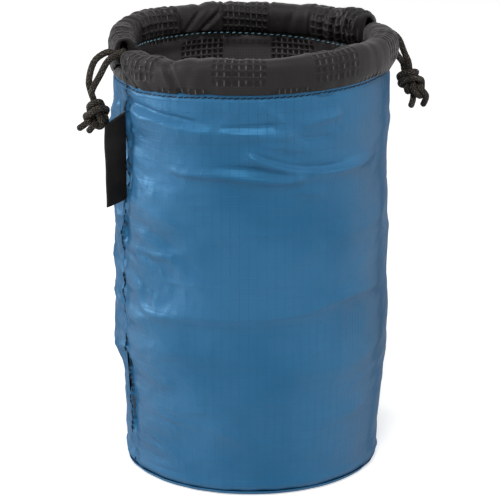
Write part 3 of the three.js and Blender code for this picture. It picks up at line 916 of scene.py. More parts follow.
def sleeve_relief(turn, height):
    """Everything that the sleeve stands out from its plain shape, in mm: folds, swellings, crumple,
    and the side seam's puckers and valley, all less at the two hems, and then the hems' own relief."""
    relief = np.zeros(turn.shape)
    for rise, above, below, edge, fade, line in front_folds + back_folds:
        relief += fold(turn, height, line, rise, above, below, edge, fade)
    for rise, size, middle in swellings:
        relief += swelling(turn, height, middle, size, rise)
    near_seam = bell(turn, NEAR_SEAM)
    calm = 1 - CALM["share"] * bell(turn - CALM["turn"], CALM["width"])
    for size, seed, flat, everywhere, besides in crumples:
        relief += (everywhere + besides * near_seam) * calm * crumple(turn, height, size, seed, flat)
    from_line = (turn - seam_turn(height)) * ARC
    from_seam = np.abs(from_line)
    right = from_line > 0
    sides = [puckers(height, from_seam, *puckering[f"{side} of seam"]) for side in ("right", "left")]
    relief += np.where(right, *sides)
    relief += puckers(height, from_seam, *puckering["at seam"])
    valley = bell(from_seam - VALLEY_AWAY, VALLEY_AWAY) * np.where(right, 1.0, VALLEY_LEFT)
    started = smooth((height - VALLEY_START) / VALLEY_START_FADE)
    not_ended = smooth((VALLEY_END - height) / VALLEY_END_FADE)
    relief -= SEAM_VALLEY * valley * (VALLEY_REST + (1 - VALLEY_REST) * started * not_ended)
    relief -= ridge(from_seam, *SEAM_GROOVE)
    below_top = border_height(turn) - height
    relief *= hem_share(below_top, TOP_REST)
    relief *= hem_share(height - SLEEVE_BOTTOM, BASE_REST)
    along = np.abs(turn) * ARC
    for row in ("at top", "below top"):
        relief += puckers(along, np.abs(below_top - STITCH_DROP), *puckering[row])
    relief -= ridge(below_top - STITCH_DROP, *TOP_GROOVE)
    relief += ridge(below_top - TOP_RIDGE_DROP, *TOP_RIDGE)
    relief += puckers(along, height - SLEEVE_BOTTOM, *puckering["at base"])
    tuck = BASE_TUCK * smooth((BASE_TUCK_HEIGHT - height) / BASE_TUCK_FADE)
    relief += ridge(height - BASE_RIDGE_HEIGHT, *BASE_RIDGE) - tuck
    return relief


# %% [markdown]
# ## The ripstop sleeve
# Ripstop is thin nylon with a stronger thread every few millimetres, which shows as a fine grid of
# darker lines. The sleeve is a closed shell: its outside is fine enough for the folds, its inside is
# coarse, and it is in two halves, front and back.
# %% Sleeve halves
# Threads, as the way they run, pitch and width in metres, strength, and colour.
threads = [
    ("up", 0.0036, 0.00018, 0.42, (18, 58, 96)),
    ("round", 0.0042, 0.0002, 0.2, (24, 72, 112)),
    ("up", 0.0009, 0.00018, 0.14, (30, 84, 126)),
    ("round", 0.00105, 0.00018, 0.08, (30, 84, 126)),
]
# The share of a thread's strength that comes and goes over the cloth, and how high fine threads are.
FAINT_SHARE = 0.65
FINE_HEIGHT = 0.4

ripstop = Finish("blue ripstop", 0.42, Sheen_Weight=0.0)
ripstop.shader.inputs["Specular Tint"].default_value = from_screen(105, 190, 245)
edge_on = ripstop.tree.nodes.new("ShaderNodeLayerWeight").outputs["Facing"]
shine = ripstop.math("MULTIPLY_ADD", ripstop.ramp(edge_on, 0.28, 0.72), -0.93, 0.95)
ripstop.join(shine, ripstop.shader.inputs["Specular IOR Level"])
lengths = dict(zip(("up", "round"), ripstop.uv()))
faint = ripstop.ramp(ripstop.noise(ripstop.place(), 0.02, 2.0, stretch=(1, 1, 0.5)), 0.46, 0.72)
uneven = ripstop.ramp(ripstop.noise(ripstop.place(), 0.045, 3.0), 0.3, 0.7)
cloth_colour = ripstop.mix(uneven, from_screen(40, 94, 133), from_screen(57, 110, 151))
patterns = []
for way, pitch, width, strength, shade in threads:
    patterns.append(ripstop.lines(lengths[way], pitch, width))
    shown = ripstop.math("MULTIPLY_ADD", faint, strength * FAINT_SHARE, strength * (1 - FAINT_SHARE))
    cloth_colour = ripstop.over(cloth_colour, patterns[-1], shown, shade)
ripstop.colour(cloth_colour)
upright, level, *fine = patterns
fine_height = ripstop.math("ADD", *[ripstop.math("MULTIPLY", pattern, FINE_HEIGHT) for pattern in fine])
ripstop.bump(ripstop.math("ADD", fine_height, ripstop.math("MAXIMUM", upright, level)), 0.00005)


def wall_half(name, half_name, outside, inside, columns):
    """A closed half shell. outside and inside are functions of turn that give one row of points for
    each of their heights; the rows run up the outside and down the inside."""
    half = HALVES[half_name]
    turns = np.linspace(0, 180, columns) * -half
    rows = np.concatenate([outside(turns), inside(turns)[::-1]])
    rings = rows.transpose(1, 0, 2)
    if half < 0:
        rings = rings[::-1]
    return add_tube(name, rings, np.abs(turns[::-half]) * ARC, ring_lengths(rings[0]))


OUTSIDE_ROWS = 236
SLEEVE_COLUMNS = 250
INSIDE_ROWS = 20
HEM = 0.6


def sleeve_heights(turns, rows):
    """Even heights from the base seam to a hem's width above the border, for each turn."""
    share = np.linspace(0, 1, rows)[:, None]
    return SLEEVE_BOTTOM + (border_height(turns[None]) + HEM - SLEEVE_BOTTOM) * share


def sleeve_outside(turns):
    """The plain sleeve's radius plus its relief."""
    height = sleeve_heights(turns, OUTSIDE_ROWS)
    turn = np.broadcast_to(turns[None], height.shape)
    return turned(sleeve_radius(height) + sleeve_relief(turn, height), turn, height)


def sleeve_inside(turns):
    """A coarse inner surface, a cloth's thickness deeper, that follows only the relief's valleys."""
    height = sleeve_heights(turns, INSIDE_ROWS)
    turn = np.broadcast_to(turns[None], height.shape)
    relief = np.minimum(sleeve_relief(turn, height), 0)
    return turned(sleeve_radius(height) - CLOTH + relief, turn, height)


for half_name in HALVES:
    sleeve = wall_half(f"{half_name}_sleeve", half_name, sleeve_outside, sleeve_inside, SLEEVE_COLUMNS)
    dress(sleeve, ripstop)
    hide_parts("outer_sleeve")
    lean_with_mouth(sleeve)

# %% [markdown]
# ## The bottom panel
# The pouch stands on a round panel whose rim turns up to the sleeve. It is a profile turned about the
# pouch's axis, with small puckers where the rim is sewn.
# %% Turned pieces
RIM_HEIGHT = 1.8
RIM_WIDTH = 2.6
RIM_POINTS = 8
FLAT_POINTS = 12
RIM_PUCKER = 0.25
RIM_PUCKERS = 60
TURN_STEPS = 240


def turned_piece(name, profile, steps=TURN_STEPS, relief=None):
    """A closed piece from a profile of (radius, height) whose two ends lie on the axis: its points
    are turned about the axis, and each end becomes one point joined to its ring by triangles."""
    radius, height = np.asarray(profile, float).T
    turn = np.arange(steps) / steps * 360
    turn_grid, radius_grid = np.meshgrid(turn, radius[1:-1])
    height_grid = np.broadcast_to(height[1:-1, None], turn_grid.shape).copy()
    if relief is not None:
        extra_radius, extra_height = relief(turn_grid, radius_grid, height_grid)
        radius_grid, height_grid = radius_grid + extra_radius, height_grid + extra_height
    points = turned(radius_grid, turn_grid, height_grid).reshape(-1, 3)
    rows = len(radius) - 2
    quads, _, _ = grid_quads(rows, steps)
    poles = [[0, 0, height[0]], [0, 0, height[-1]]]
    here = np.arange(steps)
    after = (here + 1) % steps
    first, last = rows * steps, rows * steps + 1
    top = (rows - 1) * steps
    near = np.stack([np.full(steps, first), after, here], axis=1)
    far = np.stack([np.full(steps, last), top + here, top + after], axis=1)
    points = np.concatenate([points, poles])
    corners = np.concatenate([quads.ravel(), near.ravel(), far.ravel()])
    return add_mesh(name, points, [quads, near, far], points[corners][:, :2] * MM)


def base_profile():
    """From the middle of the underside out, round the rim's quarter ellipse, and back inside it."""
    angle = np.linspace(0, math.pi / 2, RIM_POINTS)
    out = BASE_RADIUS - RIM_WIDTH
    sides = []
    for thick in (0, CLOTH):
        radius = out + (RIM_WIDTH - thick) * np.sin(angle)
        sides.append(np.stack([radius, thick + (RIM_HEIGHT - thick) * (1 - np.cos(angle))], axis=1))
    flat = np.linspace(0, out, FLAT_POINTS)[:-1]
    under, over = [np.stack([flat, np.full_like(flat, thick)], axis=1) for thick in (0, CLOTH)]
    return np.concatenate([under, sides[0], sides[1][::-1], over[::-1]])


def base_relief(turn, radius, height):
    """Puckers that shorten the rim's radius a little between its stitches."""
    rim = smooth((radius - BASE_RADIUS + RIM_WIDTH) / RIM_WIDTH)
    wave = cloudy(turn / 360 * RIM_PUCKERS, np.zeros_like(turn), 41, RIM_PUCKERS)
    return RIM_PUCKER * rim * wave, np.zeros_like(turn)


bottom = turned_piece("bottom_panel", base_profile(), relief=base_relief)
dress(bottom, ripstop)
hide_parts("outer_base")
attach(bottom, "pouch")

# %% [markdown]
# ## Padding
# Between sleeve and lining lies closed-cell foam, which gives the pouch its wall. It follows the
# sleeve's valleys from inside, so it never comes through them.
# %% Foam
foam = Finish("foam wadding", 0.95)
grain = foam.noise(foam.place(), 0.0007, 3.0)
foam.colour(foam.mix(foam.ramp(grain, 0.35, 0.7), from_screen(62, 62, 65), from_screen(88, 88, 91)))
foam.bump(grain, 0.0003)

PADDING_BOTTOM = 2.6
PADDING_TOP = SEAM_HEIGHT - 0.3
PADDING_ROWS = 110
PADDING_COLUMNS = 150
# The padding's outside lies this much further in than the sleeve's radius less the padding's depth.
DIP_CLEARANCE = 0.15
padding_heights = np.linspace(PADDING_BOTTOM, PADDING_TOP, PADDING_ROWS)[:, None]


def padding_outside(turns):
    """The sleeve's radius less the padding's depth and a clearance, and less where the sleeve dips."""
    turn, height = np.broadcast_arrays(turns[None], padding_heights)
    dip = np.minimum(sleeve_relief(turn, height), 0)
    return turned(sleeve_radius(height) - PADDING_DEPTH - DIP_CLEARANCE + dip, turn, height)


def padding_inside(turns):
    """The sleeve's radius less the padding's depth and thickness."""
    turn, height = np.broadcast_arrays(turns[None], padding_heights)
    return turned(sleeve_radius(height) - PADDING_DEPTH - PADDING_THICK, turn, height)


for half_name in HALVES:
    name = f"{half_name}_wall_padding"
    padding = wall_half(name, half_name, padding_outside, padding_inside, PADDING_COLUMNS)
    dress(padding, foam)
    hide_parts("wall_padding")
    lean_with_mouth(padding)

PAD_EDGE = 0.8
PAD_STEPS = 96


def rounded_disc(radius, edge, low, high):
    """The profile of a disc between two heights, whose two rims are quarter circles of an edge's
    radius."""
    angle = np.linspace(0, math.pi / 2, 5)
    across, upwards = edge * (1 - np.sin(angle)), edge * (1 - np.cos(angle))
    return np.concatenate([
        [[0, low], [radius / 2, low]],
        np.stack([radius - across, low + upwards], axis=1),
        np.stack([radius - upwards, high - across], axis=1),
        [[radius / 2, high], [0, high]],
    ])


pad_low, pad_high = box_mm("base_padding")
pad_profile = rounded_disc(pad_high[0], PAD_EDGE, pad_low[2], pad_high[2])
bottom_padding = turned_piece("bottom_padding", pad_profile, PAD_STEPS)
dress(bottom_padding, foam)
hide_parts("base_padding")
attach(bottom_padding, "pouch")

# %% [markdown]
# ## Lining
# The lining is a checkerboard of plain squares and squares with a waffle of small pressed dimples,
# eight by eight in each. The dimples are in the mesh as well as in the finish, so that they catch
# light from the side.
# %% Lining cloth
SQUARE = 24.8
CELLS = 8
DIMPLE = 0.34
RIM = 0.12
# The share of a dimple's depth that is there under the rims between its rows.
ROW_SHARE = 0.35


def waffle_relief(u, v):
    """Dimples in the squares where the whole numbers of u and v add up to an even number. In each
    cell the depth is the root of a sine across times 0.35 plus 0.65 of the root of a sine down, so
    its floor is broad, and the rims between its columns are narrow and higher than those between
    rows."""
    board = np.sin(np.pi * u) * np.sin(np.pi * v)
    across, down = [np.sqrt(np.abs(np.sin(CELLS * np.pi * place))) for place in (u, v)]
    return smooth(5 * board) * (RIM - DIMPLE * across * (ROW_SHARE + (1 - ROW_SHARE) * down))


def checkered(name, plain, weave_and_dimple_shade, line, rim_highlight):
    """The lining's finish: plain and waffle squares from the UV map, whose unit is the square. Its
    waffle squares have painted shade in the dimples and in the grooves between rows, and painted
    highlights on the rims between columns.
    """
    cloth = Finish(name, 0.5, Sheen_Weight=0.06, Sheen_Roughness=0.4, Specular_IOR_Level=0.2)
    cloth.shader.inputs["Sheen Tint"].default_value = from_screen(190, 185, 180)
    u, v = cloth.uv()
    turns = [cloth.math("MULTIPLY", length, math.pi / (SQUARE * MM)) for length in (u, v)]
    board = cloth.math("MULTIPLY", *[cloth.math("SINE", angle) for angle in turns])
    waffle = cloth.ramp(board, 0.0, 0.06)
    waves = [cloth.math("SINE", cloth.math("MULTIPLY", angle, CELLS)) for angle in turns]
    across, down = [cloth.math("ABSOLUTE", wave) for wave in waves]
    hollow = cloth.ramp(cloth.math("MULTIPLY", across, down), 0.12, 0.75)
    groove = cloth.fall(down, 0.1, 0.4)
    rim = cloth.math("MULTIPLY", cloth.fall(across, 0.1, 0.35), cloth.ramp(down, 0.45, 0.8))
    broken = cloth.ramp(cloth.noise(cloth.place(), 0.003, 1.0), 0.42, 0.6)
    weave = [cloth.lines(length, 0.0008, 0.0002) for length in (u, v)]
    cloudy_share = cloth.ramp(cloth.noise(cloth.place(), 0.012, 3.0), 0.3, 0.72)
    lighter = [round(c * 1.18) for c in plain]
    ground = cloth.mix(cloudy_share, from_screen(*plain), from_screen(*lighter))
    ground = cloth.over(ground, cloth.math("MAXIMUM", *weave), 0.3, weave_and_dimple_shade)
    # Painted shade darkens the dimples and the grooves between rows; painted highlights, broken by noise,
    # light the rims between columns.
    pressed = cloth.over(ground, hollow, 0.85, weave_and_dimple_shade)
    pressed = cloth.over(pressed, groove, 0.6, line)
    pressed = cloth.over(pressed, cloth.math("MULTIPLY", rim, broken), 0.55, rim_highlight)
    cloth.colour(cloth.mix(waffle, ground, pressed))
    depth = cloth.math("MULTIPLY", cloth.math("MULTIPLY", hollow, waffle), -1.0)
    cloth.bump(cloth.math("MULTIPLY_ADD", cloth.math("ADD", *weave), -0.12, depth), 0.00025)
    return cloth


lining_cloth = checkered(
    "dark lining", plain=(35, 32, 32), weave_and_dimple_shade=(16, 14, 15), line=(14, 12, 13), rim_highlight=(124, 120, 116),
)
# The same cloth painted about twice as light, with brighter painted highlights: painted light for the
# pouch's inside, which gets less light.
inner_cloth_painted_lighter = checkered(
    "inner lining", plain=(80, 76, 76), weave_and_dimple_shade=(26, 24, 25), line=(22, 20, 21), rim_highlight=(180, 176, 170),
)

LINING_BOTTOM = box_mm("lining_base")[0][2]
LINING_RADIUS = SLEEVE_RADIUS - LINING_DEPTH - CLOTH
SQUARES_ROUND = 16
LINING_TURN = -53.7
# Turns and heights of the seam between the back collar's inner face and the lining.
inner_seam = [(0, 174.2), (20, 174.0), (31, 173.6), (56, 172.6), (72, 172.2), (89, 172.0), (121, 170.6),
              (160, 169.6), (180, 169.6)]
# How far from the back's two ends the lining's edge starts to rise to that seam, and over how many
# degrees.
RISE_START = 8
RISE_TURNS = 14
LINING_ROWS = 262
LINING_COLUMNS = 262
LINING_BACK_ROWS = 24


def lining_heights(turn, rows):
    """Even heights up the lining: to the seam along the back collar, and lower at the front and under
    the collar's two ends."""
    away = np.abs(turn)
    rising = smooth((away - RISE_START) / RISE_TURNS) * smooth((180 - RISE_START - away) / RISE_TURNS)
    top = SEAM_HEIGHT + 0.4 + (read_off(inner_seam, away) - SEAM_HEIGHT - 0.2) * ((turn < 0) * rising)
    return LINING_BOTTOM + np.linspace(0, 1, rows)[:, None] * (top - LINING_BOTTOM)


def lining_squares(turn, height):
    """A place on the lining, in squares: round the pouch, and down from the seam."""
    u = (turn - LINING_TURN) / 360 * SQUARES_ROUND
    v = (SEAM_HEIGHT - height) / (2 * math.pi * LINING_RADIUS / SQUARES_ROUND)
    return u, v


def lining_inside(turns):
    """The lining's inner face: its plain radius, less the waffle, with soft waves."""
    turn, height = np.broadcast_arrays(turns[None], lining_heights(turns[None], LINING_ROWS))
    wave = 0.35 * crumple(turn, height, 26, 51) + 0.12 * crumple(turn, height, 8, 53)
    waffle = waffle_relief(*lining_squares(turn, height))
    inner = sleeve_radius(height) - LINING_DEPTH - CLOTH - waffle - np.maximum(wave, -0.3) * 0.8
    return turned(inner, turn, height)


def lining_outside(turns):
    """A coarse outer face behind the deepest dimples."""
    turn, height = np.broadcast_arrays(turns[None], lining_heights(turns[None], LINING_BACK_ROWS))
    return turned(sleeve_radius(height) - LINING_DEPTH + 0.3, turn, height)


def lining_half(half_name):
    """A half of the lining, with its UV map in squares."""
    piece = wall_half(f"{half_name}_lining", half_name, lining_outside, lining_inside, LINING_COLUMNS)
    points = np.empty(len(piece.data.vertices) * 3)
    piece.data.vertices.foreach_get("co", points)
    x, y, z = points.reshape(-1, 3).T / MM
    corners = np.empty(len(piece.data.loops), int)
    piece.data.loops.foreach_get("vertex_index", corners)
    turn = np.degrees(np.arctan2(-y, -x))
    turn = np.where(np.abs(turn) > 179.999, 180.0 * -HALVES[half_name], turn)
    u, v = lining_squares(turn, z)
    uv = np.stack([u, v], axis=1)[corners] * SQUARE * MM
    piece.data.uv_layers["UVMap"].data.foreach_set("uv", uv.ravel())
    return piece


for half_name in HALVES:
    lining = lining_half(half_name)
    dress(lining, inner_cloth_painted_lighter)
    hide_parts("lining_sleeve")
    lean_with_mouth(lining)

FLOOR_RINGS = 80
FLOOR_STEPS = 300
floor_low, floor_high = box_mm("lining_base")
rings_out = np.linspace(0, floor_high[0], FLOOR_RINGS)
under = np.append(rings_out[::6], floor_high[0])
floor_profile = np.concatenate([
    np.stack([under, np.full_like(under, floor_low[2])], axis=1),
    np.stack([rings_out[::-1], np.full_like(rings_out, floor_high[2])], axis=1),
])


def lining_floor_relief(turn, radius, height):
    """The waffle on the upper face of the bottom lining, its squares laid along x and y."""
    u, v = np.moveaxis(turned(radius, turn, 0)[..., :2], -1, 0) / SQUARE
    return np.zeros_like(turn), np.where(height > floor_low[2] + 0.1, waffle_relief(u, v) * 0.8 - 0.1, 0)


bottom_lining = turned_piece("bottom_lining", floor_profile, FLOOR_STEPS, lining_floor_relief)
dress(bottom_lining, inner_cloth_painted_lighter)
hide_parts("lining_base")
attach(bottom_lining, "pouch")

# %% [markdown]
# ## The drawstring collar
# The collar is a tunnel of lining cloth round each half of the mouth. Its section is a rounded, nearly
# square tube; its crest rises and falls where the cords gather it, and its ends are drawn to a
# narrow neck round the cords. Tables of turn and size give what the photograph shows.
# %% Collar surface
COLLAR_HALF_WIDTH = 5.3
COLLAR_COLUMNS = 390
COLLAR_PLACES = 110
HOLLOW_COLUMNS = 60
SQUARENESS = 2.6
SECTION_STEPS = 2000
COLLAR_SQUARE = SQUARE * 0.94
COLLAR_END = 3.3
NECK_BOTTOM = 172.0
NECK_HALF_WIDTH = 2.8
NECK_CLOTH = 0.9
INNER_BOTTOM = 169.0
OUTER_ROW_HEIGHT = 173.0
# The outer face's lip over the sleeve's hem: where it starts across the section and over how much,
# and the share of the half height at which it meets the border.
LIP_START = 0.5
LIP_FADE = 0.25
LIP_SHARE = 0.78
# The inner face's foot, which is drawn back behind the lining's edge.
FOOT_RISE = 0.8
FOOT_FADE = 2.4
FOOT_DEPTH = 1.0
# Over how many degrees from each end the collar comes down to the seam, and gets its full width.
DOWN_TURNS = {"left": 13.0, "right": 8.0}
DOWN_POWER = 0.6
WIDE_TURNS = 5.0

# Turns and crest heights.
collar_crests = {
    "front": [(0, 178.0), (4, 178.4), (9, 179.2), (16, 178.5), (24, 179.7), (31, 178.4), (39, 180.3),
              (48, 181.2), (63, 181.6), (76, 181.5), (89, 182.2), (98, 182.6), (116, 183.1), (144, 182.8),
              (160, 182.7), (172, 182.2), (180, 181.6)],
    "back": [(0, 181.6), (10, 182.8), (20, 184.0), (34, 184.0), (44, 184.4), (50, 185.0), (55, 184.8),
             (63, 184.4), (74, 183.8), (84, 183.4), (97, 183.9), (116, 183.3), (135, 183.6), (154, 183.6),
             (166, 185.2), (174, 184.6), (180, 183.4)],
}
# Turns and how far the outer face bulges out, in mm.
collar_bulges = {
    "front": [(0, 0.2), (14, 0.4), (30, 0.0), (60, -0.3), (90, 0.0), (130, 0.2), (150, 1.2), (165, 1.8),
              (175, 1.2), (180, 0.6)],
    "back": [(0, -0.2), (12, -0.3), (24, -0.2), (40, 0.2), (70, 0.0), (120, 0.0), (150, 0.6), (162, 1.8),
             (172, 1.4), (180, 0.6)],
}
# Turns at which one square of the checkerboard ends and the next begins.
collar_squares = {
    "front": [-18, 5.4, 27.9, 52.1, 74.3, 92.5, 114.7, 137, 159, 181],
    "back": [4, 27, 41.6, 73.1, 96.9, 120.5, 143.1, 174.7, 198],
}
# Pleats, as turn, depth, width in degrees, and lean in degrees for each mm up.
collar_pleats = {
    "front": [(34, 0.9, 1.6, -0.5), (44, 0.3, 2.4, 0.3), (8, 0.5, 1.8, -0.8), (19, 0.35, 1.6, -0.6),
              (62, 0.25, 2.0, 0.2), (104, 0.3, 2.2, 0.2), (126, 0.3, 2.4, -0.2), (150, 0.5, 1.8, 0.3),
              (163, 0.6, 1.6, 0.4), (171, 0.6, 1.4, 0.5)],
    "back": [(13, 0.7, 1.8, 0.8), (26, 0.8, 1.6, 0.9), (33, 0.5, 1.4, 0.7), (42, 0.9, 1.2, -0.3),
             (50, 0.4, 1.6, 0.4), (60, 0.4, 1.6, 0.5), (73, 0.9, 1.0, -0.2), (80, 0.7, 1.8, 1.1),
             (90, 0.9, 1.8, 1.3), (97, 0.8, 1.0, -0.1), (109, 0.3, 2.0, 0.2), (120.5, 0.6, 0.9, 0.0),
             (132, 0.4, 2.2, 0.4), (143, 0.6, 1.0, 0.1), (151, 0.7, 1.2, 0.2), (157.7, 1.0, 1.2, 0.3),
             (163, 0.9, 1.2, 0.2), (167.5, 0.9, 1.1, 0.3), (171.5, 0.8, 1.1, 0.3), (175, 0.8, 1.0, 0.2)],
}
# The height above the collar's bottom at which a pleat has its turn, and the share of the relief
# that is left at the collar's two ends.
PLEAT_HEIGHT = 7
END_RELIEF = 0.3


def curve_at(table, turn):
    """A value that follows a table of turns and values along a smooth path."""
    path = smooth_path([[a, value, 0] for a, value in table], 0.5)
    return np.interp(turn, path[:, 0], path[:, 1])


def section_round(places):
    """Even places round the unit section |x|^n + |y|^n = 1, stretched to the collar's half sizes. It
    starts at the bottom and goes out, up, over the crest and down the inside."""
    angle = np.linspace(-math.pi / 2, math.pi * 1.5, SECTION_STEPS)
    power = 2 / SQUARENESS
    unit_x = np.sign(np.cos(angle)) * np.abs(np.cos(angle)) ** power
    unit_y = np.sign(np.sin(angle)) * np.abs(np.sin(angle)) ** power
    half_height = (COLLAR_TOP - COLLAR_BOTTOM) / 2
    along = path_lengths(np.stack([unit_x * COLLAR_HALF_WIDTH, unit_y * half_height], axis=1))
    even = np.linspace(0, along[-1], places + 1)
    return np.interp(even, along, unit_x), np.interp(even, along, unit_y), even


def collar_places(half_name, turn, unit_y, length):
    """A place on the collar, in squares: along it, read off its table, and round its section, from the
    outer row's height on the front half and from the lining's seam on the back half."""
    squares = collar_squares[half_name]
    u = np.interp(turn, squares, np.arange(len(squares)))
    full_height = COLLAR_BOTTOM + (COLLAR_TOP - COLLAR_BOTTOM) / 2 * (1 + unit_y)
    if half_name == "front":
        outside = slice(0, COLLAR_PLACES // 3)
        start = np.interp(OUTER_ROW_HEIGHT, full_height[outside], length[outside])
    else:
        inside = slice(COLLAR_PLACES * 2 // 3, COLLAR_PLACES)
        start = np.interp(-read_off(inner_seam, turn), -full_height[inside], length[inside])
        start = start - 2 * COLLAR_SQUARE
    return np.broadcast_arrays(u, (length - start) / COLLAR_SQUARE + 1)


def collar_relief(half_name, turn, height_above, length, relief):
    """The relief of the squares with pleats, gathers and the puckers at the collar's seam added. A
    pleat is a groove of exp(-away to the power 1.6) with a low ridge beside it."""
    for place, depth, width, lean in collar_pleats[half_name]:
        away = np.abs(turn - place - lean * (height_above - PLEAT_HEIGHT)) / width
        relief = relief - depth * np.exp(-(away**1.6)) + 0.35 * depth * bell(away - 1.7, 1)
    arc = np.radians(turn) * TUNNEL_RADIUS
    relief = relief + 0.35 * cloudy(arc / 6.0 + 0.05 * height_above, length / 26 + 3, 61)
    relief = relief + 0.30 * cloudy(arc / 11, length / 9 + 5, 62)
    relief = relief + 0.10 * cloudy(arc / 2.6, length / 12, 63)
    from_bottom = np.minimum(length, length[-1] - length)
    return relief + puckers(arc, from_bottom, 0.35, 2.7, 3.5, 64, 0)


def collar_surface(half_name):
    """Rings of points of the outer and the inner face of one half of the collar, and their UV grid.
    Its crest and its lower edge follow tables; on the outside the edge dips to the border, as a lip
    over the sleeve's hem. Relief and thickness go square to the section."""
    half = HALVES[half_name]
    turn = np.linspace(COLLAR_END, 180 - COLLAR_END, COLLAR_COLUMNS)[:, None]
    unit_x, unit_y, length = section_round(COLLAR_PLACES)
    from_left, from_right = turn - COLLAR_END, 180 - COLLAR_END - turn
    down = np.minimum(smooth(from_left / DOWN_TURNS["left"]), smooth(from_right / DOWN_TURNS["right"]))
    down = down**DOWN_POWER
    near_end = np.clip(np.minimum(from_left, from_right) / WIDE_TURNS, 0, 1)
    wide = np.sqrt(1 - (1 - near_end) ** 2)
    crest = curve_at(collar_crests[half_name], turn)
    bulge = curve_at(collar_bulges[half_name], turn)
    border = border_height(-half * turn)
    middle = INNER_BOTTOM + (crest - INNER_BOTTOM) / 2
    lip = smooth((unit_x - LIP_START) / LIP_FADE)
    lowest = INNER_BOTTOM + (middle - (middle - border) / LIP_SHARE - INNER_BOTTOM) * lip
    lowest = NECK_BOTTOM + (lowest - NECK_BOTTOM) * down
    floor_height = NECK_BOTTOM + (np.where(lip > 0.02, border, INNER_BOTTOM) - NECK_BOTTOM) * down
    middle = np.maximum(middle, (NECK_BOTTOM + crest) / 2 * (1 - down) + middle * down)
    half_width = NECK_HALF_WIDTH + (COLLAR_HALF_WIDTH - NECK_HALF_WIDTH) * wide
    puffed = np.maximum(unit_x, 0) * smooth((unit_y + 1) / 0.9)
    radius = TUNNEL_RADIUS + (1 - wide) * NECK_CLOTH + half_width * unit_x + bulge * wide * puffed
    half_height = np.where(unit_y > 0, crest - middle, middle - lowest)
    height = middle + half_height * unit_y
    lining_edge = lining_heights(-half * turn[:, 0], 2)[1][:, None]
    foot = smooth((lining_edge + FOOT_RISE - height) / FOOT_FADE) * smooth(-3 * unit_x) * down
    radius = radius + (LINING_RADIUS + FOOT_DEPTH - radius) * foot

    u, v = collar_places(half_name, turn, unit_y, length)
    relief = collar_relief(half_name, turn, height - COLLAR_BOTTOM, length, waffle_relief(u, v))
    relief = relief * (END_RELIEF + (1 - END_RELIEF) * wide)
    steep_x = np.sign(unit_x) * np.abs(unit_x) ** (SQUARENESS - 1) / half_width
    steep_y = np.sign(unit_y) * np.abs(unit_y) ** (SQUARENESS - 1) / half_height
    steep = np.sqrt(steep_x**2 + steep_y**2)
    outwards, upwards = steep_x / steep, steep_y / steep
    radius = radius + relief * outwards
    height = np.maximum(height + relief * upwards, floor_height)
    deep = CLOTH + NECK_CLOTH * (1 - wide)
    inner_height = np.maximum(height - deep * upwards, floor_height + deep)
    outer = turned(radius, -half * turn, height)
    inner = turned(radius - deep * outwards, -half * turn, inner_height)
    return outer, inner, u, v


def collar_half(half_name):
    """One half of the collar as a tube of cloth with open ends. Its outer face runs from one end to
    the other and its coarser inner face runs back, so the rings close on themselves."""
    outer, inner, u, v = collar_surface(half_name)
    kept = np.linspace(0, COLLAR_COLUMNS - 1, HOLLOW_COLUMNS).round().astype(int)[::-1]
    points = np.concatenate([outer, inner[kept]])
    u, v = [np.concatenate([grid, grid[kept], grid[:1]]) for grid in (u, v)]
    if HALVES[half_name] > 0:
        points, u, v = points[:, ::-1], u[:, ::-1], v[:, ::-1]
    rings = points[:, :-1]
    columns, places = rings.shape[:2]
    quads, rows_of, columns_of = grid_quads(columns + 1, places)
    corners = (quads % (columns * places))[:, ::-1]
    uv = np.stack([u[rows_of, columns_of], v[rows_of, columns_of]], axis=2)[:, ::-1].reshape(-1, 2)
    return add_mesh(f"{half_name}_collar_cloth", rings, [corners], uv * SQUARE * MM)


for half_name in HALVES:
    collar = collar_half(half_name)
    dress(collar, lining_cloth)
    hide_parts(f"{half_name}_collar")
    slide_with_mouth(collar)

# %% [markdown]
# Below each pair of cords the lining shows between the collar's two ends. It is a small saddle of
# cloth, sewn down at the seam and drawn up towards the necks.
# %% Gussets between the collar's ends
GUSSET_TURNS = 15.0
GUSSET_REACH = (50.3, 56.9)
GUSSET_TOP = 171.6
GUSSET_CLOTH = 0.5
GUSSET_ROWS = 60
GUSSET_PLACES = 36
GUSSET_CREASE = 0.3
# The share of the gusset that is level in its middle, the least rise of its arch in mm, and how
# broad the arch is: less than 1 is broader than a circle.
GUSSET_LEVEL = 0.15
GUSSET_LEAST = 0.8
GUSSET_POWER = 0.7


